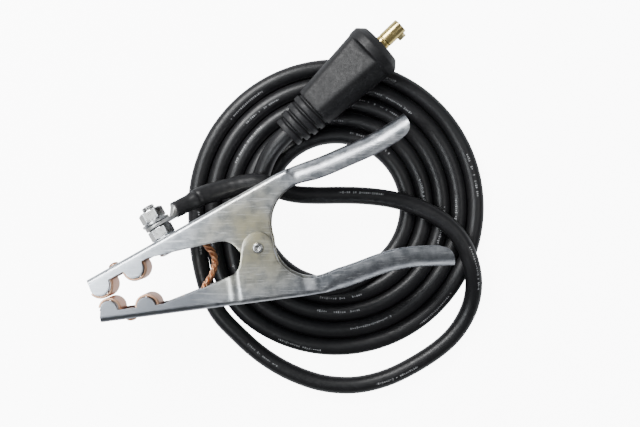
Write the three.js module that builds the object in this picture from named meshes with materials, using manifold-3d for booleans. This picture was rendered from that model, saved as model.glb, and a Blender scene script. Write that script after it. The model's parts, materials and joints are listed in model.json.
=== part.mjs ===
// Welding earth clamp on its coiled lead, with a bayonet cable plug at the far end.
// Millimetres, +Z up. The origin is on the floor, straight under the clamp's pivot.
// +X runs from the jaws towards the handles, +Y towards the upper arm.
import * as THREE from 'three';
import { mergeVertices } from 'three/addons/utils/BufferGeometryUtils.js';
import Module from 'manifold-3d';

const wasm = await Module();
wasm.setup();

// ---------------------------------------------------------------- driving dimensions

const GAP = 0.3;                 // clearance between pieces that touch

// Arms: folded steel channels that lie on their side, so the pivot stands upright
const SHEET = 2.0;               // steel thickness
const CHANNEL = 24;              // width over the two flanges
const EAR_PLAY = 0.4;            // side play between the nested ears
const JAW_REACH = 94;            // pivot to jaw tip, along the web
const HANDLE_REACH = 110;        // pivot to handle end, along the web
const HANDLE_DEPTH = 11.5;       // flange depth along the handle
const EAR_R = 8.9;               // round end of each ear, about the pivot
const JAW_BEND = 3;              // outside bend radius of the jaw part
const HANDLE_BEND = 9;           // outside bend radius of the handle, a fuller round for the hand
const HANDLE_START = 36;         // where the full round begins
const EDGE_DEPTH = 6;            // flange depth beside the lobes
const UPPER_ANGLE = THREE.MathUtils.degToRad(29.4);
const CLAMP_LOW = 32.5;          // underside of the channels above the floor, just clear of the cable

// Each arm: web = pivot to the outer face of the web; lobes as back = from the tip,
// depth = centre below the web; gullet = hollow between ear and handle; bow = handle's
// line as [share of HANDLE_REACH, drop below the straight web]
const UPPER = {
  web: 31.8,
  nose: { back: 5.1, depth: 6.6, r: 5.7 },
  heel: { back: 26.7, depth: 7.6, r: 5.4 },
  gullet: { x: 34, y: -2.8, r: 24.3 },
  bow: [[0.25, 0], [0.37, 0.8], [0.5, 3.2], [0.635, 4.8], [0.79, 6.3], [0.9, 6.1], [1, 5.5]],
};
const LOWER = {
  web: 30.5,
  nose: { back: 5.5, depth: 7.1, r: 4.7 },
  heel: { back: 26.8, depth: 5.9, r: 5.2 },
  gullet: { x: 30.4, y: -0.9, r: 22 },
  bow: [[0.25, 0], [0.385, 0.5], [0.49, 2.6], [0.59, 5.2], [0.69, 7.1], [0.79, 7.6], [1, 5.8]],
};
const ARCH = { x: -20.6, y: 4.4, r: 10 };     // round hollow in front of the ear
const JOGGLE_FRONT = [-19.6, -12.3];          // lower arm: where its flanges step outwards
const JOGGLE_BACK = [21, 32];                 // and where they step back in

// Contacts: bent copper strips over the lobes, riveted in the notch
const STRIP = 1.5;               // copper thickness
const STRIP_PROUD = 1.65;        // how far a strip stands out of the steel lobe
const STRIP_INSET = 0.7;         // strip edge to flange, past the inside bend
const CONTACT_RIVET_X = 15.4;    // rivet, from the tip
const CONTACT_SHANK_R = 1.5;
const LINK_RIVET_X = 41;         // lower link terminal's rivet, from the tip

// Pivot and spring
const PIVOT_R = 2.4;
const SPACER_R = 4;              // outside of the spacer tube
const SPRING_WIRE = 2.4;
const SPRING_R = 6.2;            // mean radius of the coils
const SPRING_TURNS = 6;
const SPRING_SIDE = 0.7;         // coils to flange, each side

// Cable terminal on the upper web
const BOLT_X = 49;               // bolt, from the tip
const BOLT_R = 3.9;
const NUT_FLATS = 13;
const NUT_H = 6.5;
const HEAD_H = 5.3;
const WASHER_R = 8.3;
const WASHER_H = 1.4;
const LUG_PLATE = 2.2;
const LUG_BARREL_R = 4.25;
const LUG_BORE_R = 2.75;
const LUG_LENGTH = 27;           // bolt centre to the barrel's mouth
const LUG_TILT = THREE.MathUtils.degToRad(25);

// Copper link between the arms
const LINK_R = 2.0;
const LINK_BOW = [               // middle of its bow, about the pivot
  [-30.9, 1.6], [-27.0, -3.2], [-25.6, -9.0], [-27.2, -15.5], [-31.2, -22.3],
];

// Cable and its coil
const CABLE_R = 5.25;
const CONDUCTOR_R = 2.45;
const COIL = { x: 45, y: 23.4, turns: 5, pitch: 10.8, inner: 43.2 };   // inner = first turn's radius
const SHRINK_BORE = 5.75;
const SHRINK_WALL = 0.6;
const SHRINK_START = 16;         // bolt centre to the sleeve's end on the barrel
const CABLE_SIDES = 10;

// The cable's line from the lug over the coil, down and round to the coil's outer turn
const LEAD_ROUTE = [
  [-38.8, 27.6, 33.0], [-34.9, 29.9, 30.9], [-27.5, 32.4, 28.1], [-19.0, 34.8, 26.2],
  [-11.0, 36.8, 25.5], [-3.2, 37.8, 25.5], [4.6, 36.2, 25.2], [12.6, 32.9, 24.4],
  [21.0, 31.0, 23.3], [34.0, 30.4, 21.4], [48.2, 30.6, 19.4], [62.0, 30.2, 17.7],
  [76.0, 28.6, 16.6], [89.0, 25.4, 16.1], [101.5, 20.2, 16.1], [113.0, 12.6, 16.1],
  [121.4, 2.6, 16.1], [126.5, -9.4, 16.1], [129.4, -22.8, 11.4], [128.4, -35.4, 7.4],
  [124.0, -46.6, 5.6], [117.2, -56.2, 5.3], [108.4, -64.2, 5.3], [93.8, -73.8, 5.3],
  [76.4, -82.2, 5.3], [57.6, -86.6, 5.3], [37.4, -85.6, 5.3], [17.6, -79.0, 5.3],
  [-0.7, -68.2, 5.3], [-16.2, -54.6, 5.3], [-27.6, -42.2, 5.3],
];
// The cable's line from the top of the coil, under the clamp, into the plug
const TAIL_ROUTE = [
  [32.4, -23.5, 14.9], [20.7, -18.7, 15.6], [10.6, -11.0, 16.1], [2.9, -0.9, 16.1],
  [-1.9, 10.8, 15.5], [-3.6, 23.4, 14.9], [-2.9, 31.8, 14.7], [-1.3, 39.5, 14.8],
  [0.9, 47.2, 16.0], [4.3, 54.6, 18.2], [9.1, 61.2, 20.2], [15.5, 67.7, 21.5],
  [20.9, 72.8, 22.2], [26.3, 77.9, 22.9],
];

// Plug
const PLUG = {
  at: [15.5, 67.7, 21.5],
  turn: THREE.MathUtils.degToRad(43.3),
  rise: THREE.MathUtils.degToRad(5.2),
};
const SLEEVE_LENGTH = 77;
const SLEEVE_RIBS = [9.7, 11, 12, 12.4];      // radius of each rib, from the rear
const RIB_PITCH = 5.6;
const RIB_WIDTH = 3.4;
const RIB_HEIGHT = 1.3;
const SLEEVE_BODY = [12.9, 16.6];             // radius where the body starts and ends
const SLEEVE_FLATS = 26.5;                    // across the two flats
const FLATS_TURN = -15;                       // degrees about the plug's axis, from its side
const COLLAR_R = 17.2;
const COLLAR_WIDTH = 5;
const NOSE_CHAMFER = 4.2;
const CORE_R = 7.3;                           // brass core inside the sleeve
const CORE = [23, 61.5];                      // its rear and front, from the sleeve's rear
const PIN_R = 4.5;
const PIN_OUT = 16;                           // pin beyond the sleeve's face
const PIN_KEY = { long: 4.7, wide: 3.4, high: 2.0, turn: -170 };   // turn in degrees, from its side
const SOCKET_R = 4.0;
const SOCKET_DEPTH = 24;
const FERRULE_R = 3.6;
const SCREW_R = 2.8;
const SCREW_AT = [31, 40];

// ---------------------------------------------------------------- derived sizes

const WIDE = CHANNEL + 2 * (SHEET + EAR_PLAY);          // lower arm over its ears
const CLAMP_HEIGHT = CLAMP_LOW + CHANNEL / 2;            // mid plane of the clamp
const SPRING_PITCH = (CHANNEL - 2 * (SHEET + SPRING_SIDE) - SPRING_WIRE) / SPRING_TURNS;
const STRIP_WIDTH = CHANNEL - 2 * SHEET - 2 * STRIP_INSET;
const TIP = -JAW_REACH;
const REACH = 60;                                       // beyond any flange, for cutting tools
const deg = THREE.MathUtils.degToRad;

/** Height of a contact strip's middle where it lies along the inside of the web. */
function stripHeight(arm) {
  return arm.web - SHEET - GAP - STRIP / 2;
}

/** Lobe centre in the arm's own frame: x towards the handle, y towards the web. */
function lobeCentre(arm, lobe) {
  return new THREE.Vector2(TIP + lobe.back, arm.web - lobe.depth);
}

/** Lower arm's angle at which the two nose contacts just clear each other. */
function closedAngle() {
  const up = lobeCentre(UPPER, UPPER.nose);
  const low = lobeCentre(LOWER, LOWER.nose);
  const apart = UPPER.nose.r + LOWER.nose.r + 2 * STRIP_PROUD + GAP;
  const a = up.length();
  const b = low.length();
  const between = Math.acos((a * a + b * b - apart * apart) / (2 * a * b));
  return UPPER_ANGLE - Math.atan2(up.y, -up.x) - Math.atan2(low.y, -low.x) + between;
}

// ---------------------------------------------------------------- materials

const finish = (color, roughness, metalness) => new THREE.MeshStandardMaterial({
  color, roughness, metalness, flatShading: true,
});
const ZINC = finish(0xb9bec2, 0.35, 1);
const BRIGHT = finish(0xd2d4d4, 0.3, 1);
const COPPER = finish(0xd08a5c, 0.35, 1);
const BRASS = finish(0xc9a24a, 0.3, 1);
const TINNED = finish(0xc4c6c6, 0.45, 1);
const SPRING_STEEL = finish(0x8a8d90, 0.4, 1);
const CABLE_RUBBER = finish(0x1b1c1f, 0.5, 0);
const SLEEVE_RUBBER = finish(0x2a2b2d, 0.7, 0);
const SHRINK_BLACK = finish(0x2c2b2c, 0.65, 0);

// ---------------------------------------------------------------- solids

/** Closed manifold solid from a three.js geometry. */
function solid(geometry) {
  const bare = geometry.clone();
  bare.deleteAttribute('normal');
  bare.deleteAttribute('uv');
  const merged = mergeVertices(bare);
  const index = merged.index.array;
  const tris = [];
  for (let i = 0; i < index.length; i += 3) {
    const [a, b, c] = [index[i], index[i + 1], index[i + 2]];
    if (a !== b && b !== c && c !== a) tris.push(a, b, c);
  }
  const mesh = (list) => new wasm.Manifold(new wasm.Mesh({
    numProp: 3,
    vertProperties: new Float32Array(merged.attributes.position.array),
    triVerts: new Uint32Array(list),
  }));
  const body = mesh(tris);
  return body.volume() > 0 ? body : mesh(tris.reverse());
}

/** Geometry of a manifold solid. */
function geometryOf(body) {
  const mesh = body.getMesh();
  const geometry = new THREE.BufferGeometry();
  geometry.setAttribute('position', new THREE.BufferAttribute(mesh.vertProperties, 3));
  geometry.setIndex(new THREE.BufferAttribute(mesh.triVerts, 1));
  geometry.computeVertexNormals();
  return geometry;
}

const join = (...bodies) => bodies.reduce((a, b) => a.add(b));
const cut = (body, ...tools) => tools.reduce((a, b) => a.subtract(b), body);

/** Named mesh of a solid. */
function piece(name, body, material) {
  const mesh = new THREE.Mesh(geometryOf(body), material);
  mesh.name = name;
  return mesh;
}

/** Flat shape pulled up along Z from z0 to z1. */
function slab(shape, z0, z1, curveSegments = 10) {
  const g = new THREE.ExtrudeGeometry(shape, { depth: z1 - z0, bevelEnabled: false, curveSegments });
  return solid(g.translate(0, 0, z0));
}

/** Shape drawn in (x, z), pulled along Y from y0 to y1. */
function slabAlongY(shape, y0, y1, curveSegments = 10) {
  const g = new THREE.ExtrudeGeometry(shape, { depth: y1 - y0, bevelEnabled: false, curveSegments });
  return solid(g.rotateX(-Math.PI / 2).translate(0, y0, 0));
}

/** Round bar along Y, centred on (x, z = 0). */
function rodAlongY(x, y0, y1, r, sides = 20) {
  return solid(new THREE.CylinderGeometry(r, r, y1 - y0, sides).translate(x, (y0 + y1) / 2, 0));
}

/** Round bar along Z on the pivot axis. */
function rodAlongZ(z0, z1, r, sides = 24) {
  const g = new THREE.CylinderGeometry(r, r, z1 - z0, sides).rotateX(Math.PI / 2);
  return solid(g.translate(0, 0, (z0 + z1) / 2));
}

/** Block between two corners. */
function block(x0, x1, y0, y1, z0, z1) {
  const g = new THREE.BoxGeometry(x1 - x0, y1 - y0, z1 - z0);
  return solid(g.translate((x0 + x1) / 2, (y0 + y1) / 2, (z0 + z1) / 2));
}

/** Turned solid about Y from [radius, y] points. */
function turned(profile, sides = 24) {
  return solid(new THREE.LatheGeometry(profile.map(([r, y]) => new THREE.Vector2(r, y)), sides));
}

/** Turned solid about X from [radius, x] points. */
function turnedAboutX(profile, sides = 24) {
  const g = new THREE.LatheGeometry(profile.map(([r, x]) => new THREE.Vector2(r, x)), sides);
  return solid(g.rotateZ(-Math.PI / 2));
}

/** Round section, solid or with a bore. */
function ringShape(r, bore = 0) {
  const shape = new THREE.Shape().absarc(0, 0, r, 0, 2 * Math.PI, false);
  if (bore > 0) shape.holes.push(new THREE.Path().absarc(0, 0, bore, 0, 2 * Math.PI, true));
  return shape;
}

/** Hexagon of a given size across its flats, with a round hole. */
function hexShape(flats, bore) {
  const r = flats / Math.sqrt(3);
  const corners = [0, 1, 2, 3, 4, 5].map((k) => deg(60 * k));
  const shape = new THREE.Shape(corners.map((a) => new THREE.Vector2(r * Math.cos(a), r * Math.sin(a))));
  if (bore > 0) shape.holes.push(new THREE.Path().absarc(0, 0, bore, 0, 2 * Math.PI, true));
  return shape;
}

/** Section pulled along a curve. */
function sweep(shape, curve, steps, curveSegments) {
  return solid(new THREE.ExtrudeGeometry(shape, { steps, extrudePath: curve, curveSegments }));
}

/** Smooth curve through a list of points. */
function smooth(points) {
  return new THREE.CatmullRomCurve3(points.map((p) => new THREE.Vector3(...p)), false, 'centripetal');
}

// ---------------------------------------------------------------- arms

/** The handle's web line as a smooth curve, carried on past the handle's end. */
function handleLine(arm) {
  const points = arm.bow.map(([share, drop]) => [share * HANDLE_REACH, arm.web - drop, 0]);
  const [p, q] = points.slice(-2);
  points.push([q[0] + (q[0] - p[0]) / 2, q[1] + (q[1] - p[1]) / 2, 0]);
  return smooth(points);
}

/** Point on the handle line at a given x, found by halving. */
function onHandle(line, x) {
  let [low, high] = [0, 1];
  for (let i = 0; i < 30; i += 1) {
    const middle = (low + high) / 2;
    if (line.getPoint(middle).x < x) low = middle;
    else high = middle;
  }
  return line.getPoint(low);
}

/** Side outline of one arm; its web side is left high, because the bent bar trims it. */
function armOutline(arm) {
  const nose = lobeCentre(arm, arm.nose);
  const heel = lobeCentre(arm, arm.heel);
  const edge = arm.web - EDGE_DEPTH;
  const line = handleLine(arm);
  const { x: gx, y: gy, r: gr } = arm.gullet;
  const leave = deg(76);                                  // where the gullet meets the handle
  const top = arm.web + JAW_BEND;
  const shape = new THREE.Shape();
  shape.moveTo(TIP, top);
  shape.lineTo(TIP, arm.web);
  shape.lineTo(nose.x - arm.nose.r, nose.y);
  shape.absarc(nose.x, nose.y, arm.nose.r, Math.PI, 2 * Math.PI, false);
  shape.lineTo(nose.x + arm.nose.r + 0.6, edge);
  shape.lineTo(heel.x - arm.heel.r - 0.6, edge);
  shape.absarc(heel.x, heel.y, arm.heel.r, Math.PI, 2 * Math.PI, false);
  shape.lineTo(heel.x + arm.heel.r + 0.8, edge);
  shape.lineTo(heel.x + arm.heel.r + 4.2, edge);
  shape.lineTo(ARCH.x - 3.4, ARCH.y + ARCH.r + 1.6);
  shape.quadraticCurveTo(ARCH.x + 0.6, ARCH.y + ARCH.r + 0.5,
    ARCH.x + ARCH.r * Math.cos(deg(66)), ARCH.y + ARCH.r * Math.sin(deg(66)));
  shape.absarc(ARCH.x, ARCH.y, ARCH.r, deg(66), deg(-10), true);
  shape.absarc(0, 0, EAR_R, deg(170), deg(350), false);
  shape.absarc(gx, gy, gr, deg(177), leave, true);
  const first = gx + gr * Math.cos(leave) + 8;
  const last = HANDLE_REACH - 8;
  for (let i = 0; i <= 5; i += 1) {
    const p = onHandle(line, first + (last - first) * (i / 5));
    shape.lineTo(p.x, p.y - HANDLE_DEPTH);
  }
  const end = onHandle(line, HANDLE_REACH);
  shape.quadraticCurveTo(HANDLE_REACH - 0.6, end.y - HANDLE_DEPTH, HANDLE_REACH, end.y - 4);
  shape.lineTo(HANDLE_REACH, top);
  return shape;
}

/** Section of a bent bar: width across, rounded upper corners, its top at a given height. */
function barSection(width, radius, top) {
  const half = width / 2;
  const shape = new THREE.Shape();
  shape.moveTo(-half, -REACH);
  shape.lineTo(half, -REACH);
  shape.absarc(half - radius, top - radius, radius, 0, Math.PI / 2, false);
  shape.absarc(-half + radius, top - radius, radius, Math.PI / 2, Math.PI, false);
  return shape;
}

/** Bar under the straight web between two places along it. */
function straightBar(arm, width, radius, top, x0, x1) {
  const line = new THREE.LineCurve3(new THREE.Vector3(x0, arm.web, 0), new THREE.Vector3(x1, arm.web, 0));
  return sweep(barSection(width, radius, top), line, 1, 3);
}

/** Bar under the handle's line, from x0 to past its end. */
function handleBar(arm, width, radius, top, x0) {
  const bar = sweep(barSection(width, radius, top), handleLine(arm), 12, 4);
  return cut(bar, block(-REACH, x0, -2 * REACH, 2 * REACH, -REACH, REACH));
}

/** Plan of the lower arm's middle: narrow, stepped out round the ears, narrow again. */
function joggleShape(inset) {
  const narrow = CHANNEL / 2 - inset;
  const wide = WIDE / 2 - inset;
  const side = [
    [JOGGLE_FRONT[0] - 1, narrow], [JOGGLE_FRONT[0], narrow], [JOGGLE_FRONT[1], wide],
    [JOGGLE_BACK[0], wide], [JOGGLE_BACK[1], narrow], [HANDLE_START, narrow],
  ];
  const other = side.map(([x, z]) => [x, -z]).reverse();
  return new THREE.Shape([...side, ...other].map(([x, z]) => new THREE.Vector2(x, z)));
}

/** Full bar, or its hollow when inset by the sheet; the round of the handle starts at x. */
function armBar(arm, inset, startsAt, joggled) {
  const top = -inset;
  const bend = JAW_BEND - inset;
  const width = CHANNEL - 2 * inset;
  const back = handleBar(arm, width, HANDLE_BEND - inset, top, startsAt);
  const far = TIP - 10;
  if (!joggled) return join(straightBar(arm, width, bend, top, far, startsAt + 0.05), back);
  const front = straightBar(arm, width, bend, top, far, JOGGLE_FRONT[0] + 0.05);
  const ears = straightBar(arm, WIDE - 2 * inset, bend, top, JOGGLE_FRONT[0], startsAt + 0.05)
    .intersect(slabAlongY(joggleShape(inset), -2 * REACH, 2 * REACH));
  return join(front, ears, back);
}

/** One folded arm with its pivot holes and the web holes listed as [x, radius]. */
function armSolid(arm, joggled, webHoles) {
  const outside = armBar(arm, 0, HANDLE_START, joggled);
  const hollow = armBar(arm, SHEET, HANDLE_START - 4, joggled);
  const flat = slab(armOutline(arm), -WIDE, WIDE, 6);
  const channel = cut(outside.intersect(flat), hollow, rodAlongZ(-WIDE, WIDE, PIVOT_R + GAP));
  return cut(channel, ...webHoles.map(([x, r]) => rodAlongY(x, arm.web - 2 * SHEET, arm.web + SHEET, r)));
}

// ---------------------------------------------------------------- contacts

/** Closed outline of a strip of even thickness along a flat path. */
function ribbon(path, thickness, count) {
  const points = path.getSpacedPoints(count);
  const sides = [-1, 1].map((side) => points.map((p, i) => {
    const before = points[Math.max(i - 1, 0)];
    const after = points[Math.min(i + 1, count)];
    const along = after.clone().sub(before).normalize();
    return new THREE.Vector2(-along.y, along.x).multiplyScalar((side * thickness) / 2).add(p);
  }));
  return new THREE.Shape([...sides[0], ...sides[1].reverse()]);
}

/** Bent copper contact strip over both lobes of one jaw, its tail ending at tailX. */
function contactStrip(arm, tailX, holes) {
  const flat = stripHeight(arm);
  const nose = lobeCentre(arm, arm.nose);
  const heel = lobeCentre(arm, arm.heel);
  const noseR = arm.nose.r + STRIP_PROUD - STRIP / 2;
  const heelR = arm.heel.r + STRIP_PROUD - STRIP / 2;
  const lift = deg(10);
  const path = new THREE.Path();
  path.absarc(nose.x, nose.y, noseR, deg(192), 2 * Math.PI + lift, false);
  path.quadraticCurveTo(nose.x + noseR - 0.4, flat, nose.x + noseR + 1.7, flat);
  path.lineTo(heel.x - heelR - 1.7, flat);
  path.quadraticCurveTo(heel.x - heelR + 0.2, flat,
    heel.x - heelR * Math.cos(lift), heel.y + heelR * Math.sin(lift));
  path.absarc(heel.x, heel.y, heelR, Math.PI - lift, 2 * Math.PI + lift, false);
  path.quadraticCurveTo(heel.x + heelR - 0.2, flat, heel.x + heelR + 1.7, flat);
  path.lineTo(tailX, flat);
  const strip = slab(ribbon(path, STRIP, 48), -STRIP_WIDTH / 2, STRIP_WIDTH / 2);
  return cut(strip, ...holes.map(([x, r]) => rodAlongY(x, flat - 2 * STRIP, flat + 2 * STRIP, r)));
}

/** Rivet through web and strip: a dome outside, a small set head inside. */
function contactRivet(arm) {
  const seat = arm.web + GAP;
  const inside = stripHeight(arm) - STRIP / 2 - GAP;
  const body = turned([
    [0, inside - 1.2], [1.6, inside - 1.2], [2.0, inside - 0.8], [2.0, inside],
    [CONTACT_SHANK_R, inside], [CONTACT_SHANK_R, seat], [3.0, seat], [2.8, seat + 0.8],
    [2.0, seat + 1.4], [0, seat + 1.7],
  ], 16);
  return body.translate([TIP + CONTACT_RIVET_X, 0, 0]);
}

// ---------------------------------------------------------------- pivot and spring

/** Pivot rivet: dimpled set head on top, low dome below. */
function pivotRivet() {
  const face = WIDE / 2 + GAP;
  const body = turned([
    [0, -face - 1.5], [2.6, -face - 1.3], [4.2, -face - 0.5], [4.4, -face], [PIVOT_R, -face],
    [PIVOT_R, face], [3.1, face], [3.0, face + 0.9], [2.3, face + 1.5], [1.1, face + 1.5],
    [0, face + 0.9],
  ], 20);
  return body.rotate([90, 0, 0]);
}

/** Spacer tube that keeps the upper arm's ears apart. */
function pivotSpacer() {
  const half = CHANNEL / 2 - SHEET - GAP;
  return slab(ringShape(SPACER_R, PIVOT_R + GAP), -half, half, 12);
}

/** Spring leg's foot: straight on from the coil until it meets a web's inner face. */
function legFoot(start, direction, webNormal, web) {
  const reach = web - SHEET - GAP - SPRING_WIRE / 2;
  const travel = (reach - start.dot(webNormal)) / direction.dot(webNormal);
  return start.clone().addScaledVector(direction, travel);
}

/** Torsion spring round the spacer; its two legs push the webs of both handles apart. */
function torsionSpring(lowerAngle) {
  const first = deg(20);
  const last = deg(5) + 2 * Math.PI * SPRING_TURNS;
  const at = (angle) => new THREE.Vector2(Math.cos(angle), Math.sin(angle)).multiplyScalar(SPRING_R);
  const low = at(first);
  const high = at(last);
  const lowWay = new THREE.Vector2(Math.sin(first), -Math.cos(first));
  const highWay = new THREE.Vector2(-Math.sin(last), Math.cos(last));
  const lowNormal = new THREE.Vector2(Math.sin(lowerAngle), -Math.cos(lowerAngle));
  const highNormal = new THREE.Vector2(-Math.sin(UPPER_ANGLE), Math.cos(UPPER_ANGLE));
  const lowFoot = legFoot(low, lowWay, lowNormal, LOWER.web);
  const highFoot = legFoot(high, highWay, highNormal, UPPER.web);
  const half = (SPRING_PITCH * (last - first)) / (4 * Math.PI);
  const points = [[lowFoot.x, lowFoot.y, -half]];
  points.push([...low.clone().lerp(lowFoot, 0.3).toArray(), -half]);
  const count = 8 * SPRING_TURNS;
  for (let i = 0; i <= count; i += 1) {
    const p = at(first + ((last - first) * i) / count);
    points.push([p.x, p.y, -half + (2 * half * i) / count]);
  }
  points.push([...high.clone().lerp(highFoot, 0.3).toArray(), half]);
  points.push([highFoot.x, highFoot.y, half]);
  return sweep(ringShape(SPRING_WIRE / 2), smooth(points), 72, 3);
}

// ---------------------------------------------------------------- cable terminal

/** Heights of the terminal's stack above the web, from the inner nut outwards. */
function terminalStack() {
  const inner = UPPER.web + GAP;
  const lug = inner + NUT_H + GAP;
  const washer = lug + LUG_PLATE + GAP;
  const outer = washer + WASHER_H + GAP;
  return { inner, lug, washer, outer, end: outer + NUT_H + 2.8 };
}

/** Hex bolt, its head inside the channel. */
function terminalBolt() {
  const under = stripHeight(UPPER) - STRIP / 2 - GAP - 1 - GAP;
  const head = slabAlongY(hexShape(NUT_FLATS, 0), under - HEAD_H, under);
  const { end } = terminalStack();
  const shank = turned([[0, under - 1], [BOLT_R, under - 1], [BOLT_R, end - 0.8], [3.2, end], [0, end]], 20);
  return join(head, shank);
}

/** Cable lug: flat palm, ramp and barrel, along X from the bolt; open at the barrel's mouth. */
function cableLug() {
  const { lug } = terminalStack();
  const palm = new THREE.Shape();
  palm.absarc(0, 0, 7.5, deg(34), deg(326), false);
  palm.lineTo(13, -LUG_BARREL_R);
  palm.lineTo(13, LUG_BARREL_R);
  palm.holes.push(new THREE.Path().absarc(0, 0, BOLT_R + GAP, 0, 2 * Math.PI, true));
  const plate = slabAlongY(palm, lug, lug + LUG_PLATE);
  const axis = lug + LUG_BARREL_R;
  const ramp = new THREE.Shape([
    [9.2, lug + 0.4], [9.2, lug + 1.8], [13.2, lug + 1.88 * LUG_BARREL_R], [15, lug + 1.88 * LUG_BARREL_R],
    [15, lug + 0.4],
  ].map(([x, y]) => new THREE.Vector2(x, y)));
  const wedge = slab(ramp, -LUG_BARREL_R * 0.7, LUG_BARREL_R * 0.7);
  const barrel = turnedAboutX([[0, 12], [LUG_BARREL_R, 12], [LUG_BARREL_R, LUG_LENGTH], [0, LUG_LENGTH]], 20);
  const bore = turnedAboutX([[0, 13.5], [LUG_BORE_R, 13.5], [LUG_BORE_R, REACH], [0, REACH]], 20);
  return cut(join(plate, wedge, barrel.translate([0, axis, 0])), bore.translate([0, axis, 0]));
}

/** Bare strands inside the lug's barrel. */
function lugConductor() {
  const axis = terminalStack().lug + LUG_BARREL_R;
  const body = turnedAboutX([[0, 14], [CONDUCTOR_R, 14], [CONDUCTOR_R, LUG_LENGTH], [0, LUG_LENGTH]], 14);
  return body.translate([0, axis, 0]);
}

/** Shrink sleeve over the lug's barrel and the cable's first bend. */
function heatShrink() {
  const axis = terminalStack().lug + LUG_BARREL_R;
  const toFrame = new THREE.Matrix4().makeRotationZ(UPPER_ANGLE).setPosition(0, 0, CLAMP_HEIGHT);
  toFrame.multiply(new THREE.Matrix4().makeTranslation(TIP + BOLT_X, 0, 0));
  toFrame.multiply(new THREE.Matrix4().makeRotationY(LUG_TILT));
  const start = [SHRINK_START, 22].map((t) => new THREE.Vector3(t, axis, 0).applyMatrix4(toFrame).toArray());
  const line = smooth([...start, ...LEAD_ROUTE.slice(0, 4), [-15.0, 35.9, 25.8], [-9.5, 37.1, 25.5]]);
  return sweep(ringShape(SHRINK_BORE + SHRINK_WALL, SHRINK_BORE), line, 12, 7);
}

// ---------------------------------------------------------------- copper link

/** Crimp terminal of the link: plate under a fixing at x, barrel pointing along +X. */
function linkTerminal(arm, x, plateR, holeR) {
  const top = stripHeight(arm) - STRIP / 2 - GAP;
  const shape = new THREE.Shape();
  shape.absarc(0, 0, plateR, deg(24), deg(336), false);
  shape.lineTo(plateR + 2.4, -2.2);
  shape.lineTo(plateR + 2.4, 2.2);
  shape.holes.push(new THREE.Path().absarc(0, 0, holeR, 0, 2 * Math.PI, true));
  const plate = slabAlongY(shape, top - 1, top);
  const bore = LINK_R + GAP;
  const tube = slab(ringShape(bore + 0.7, bore), 0, 7, 8).rotate([0, 90, 0]);
  const mouth = slab(ringShape(bore), 0, 9, 8).rotate([0, 90, 0]);
  const place = [plateR + 1.2, top - 1.6, 0];
  return join(cut(plate, mouth.translate(place)), tube.translate(place)).translate([x, 0, 0]);
}

/** Middle of the link's wire in a terminal, at a distance from the fixing. */
function linkMouth(arm, x, distance, angle, mirror) {
  const y = stripHeight(arm) - STRIP / 2 - GAP - 1.6;
  return new THREE.Vector3(x + distance, mirror * y, 0).applyAxisAngle(new THREE.Vector3(0, 0, 1), angle).toArray();
}

/** Twisted copper link from the bolt's terminal to the lower arm's terminal. */
function copperLink(lowerAngle) {
  const upX = TIP + BOLT_X;
  const lowX = TIP + LINK_RIVET_X;
  const up = [9.6, 15.6].map((d) => linkMouth(UPPER, upX, d, UPPER_ANGLE, 1));
  const low = [12.2, 6.6].map((d) => linkMouth(LOWER, lowX, d, lowerAngle, -1));
  const upBend = [[up[1][0] + 3.0, up[1][1] + 0.2, 0], [up[1][0] + 5.8, up[1][1] - 2.8, 0]];
  const lowBend = [low[0][0] + 3.4, low[0][1] + 1.6, 0];
  const line = smooth([...up, ...upBend, ...LINK_BOW.map(([x, y]) => [x, y, 0]), lowBend, ...low]);
  return sweep(ringShape(LINK_R), line, 30, 4);
}

/** Flush rivet that holds the link's lower terminal to strip and web. */
function linkRivet() {
  const top = LOWER.web - 0.1;
  const inside = stripHeight(LOWER) - STRIP / 2 - 2 * GAP - 1;
  const body = turned([
    [0, inside - 1], [2.2, inside - 1], [2.2, inside], [CONTACT_SHANK_R, inside],
    [CONTACT_SHANK_R, top], [0, top],
  ], 16);
  return body.translate([TIP + LINK_RIVET_X, 0, 0]);
}

// ---------------------------------------------------------------- cable

/** The coil as one ring: the rounded outline of its turns, flat where it rests. */
function coilRing() {
  const arc = (r, from, to, count) => Array.from({ length: count + 1 }, (_, i) => {
    const a = deg(from + ((to - from) * i) / count);
    return [r + CABLE_R * Math.cos(a), CABLE_R + CABLE_R * Math.sin(a)];
  });
  const outer = COIL.inner + (COIL.turns - 1) * COIL.pitch;
  const profile = [[COIL.inner, 0], ...arc(outer, -90, 140, 6)];
  for (let k = COIL.turns - 2; k > 0; k -= 1) profile.push(...arc(COIL.inner + k * COIL.pitch, 40, 140, 3));
  profile.push(...arc(COIL.inner, 40, 270, 6));
  profile[profile.length - 1] = [COIL.inner, 0];
  return turned(profile, 44).rotate([90, 0, 0]).translate([COIL.x, COIL.y, 0]);
}

/** Plain run of cable along a route. */
function cableRun(route, steps) {
  const sides = Array.from({ length: CABLE_SIDES }, (_, k) => deg((360 * k) / CABLE_SIDES));
  const section = new THREE.Shape(
    sides.map((a) => new THREE.Vector2(CABLE_R * Math.cos(a), CABLE_R * Math.sin(a))),
  );
  return sweep(section, smooth(route), steps, 1);
}

// ---------------------------------------------------------------- plug (along +X from its rear)

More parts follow.
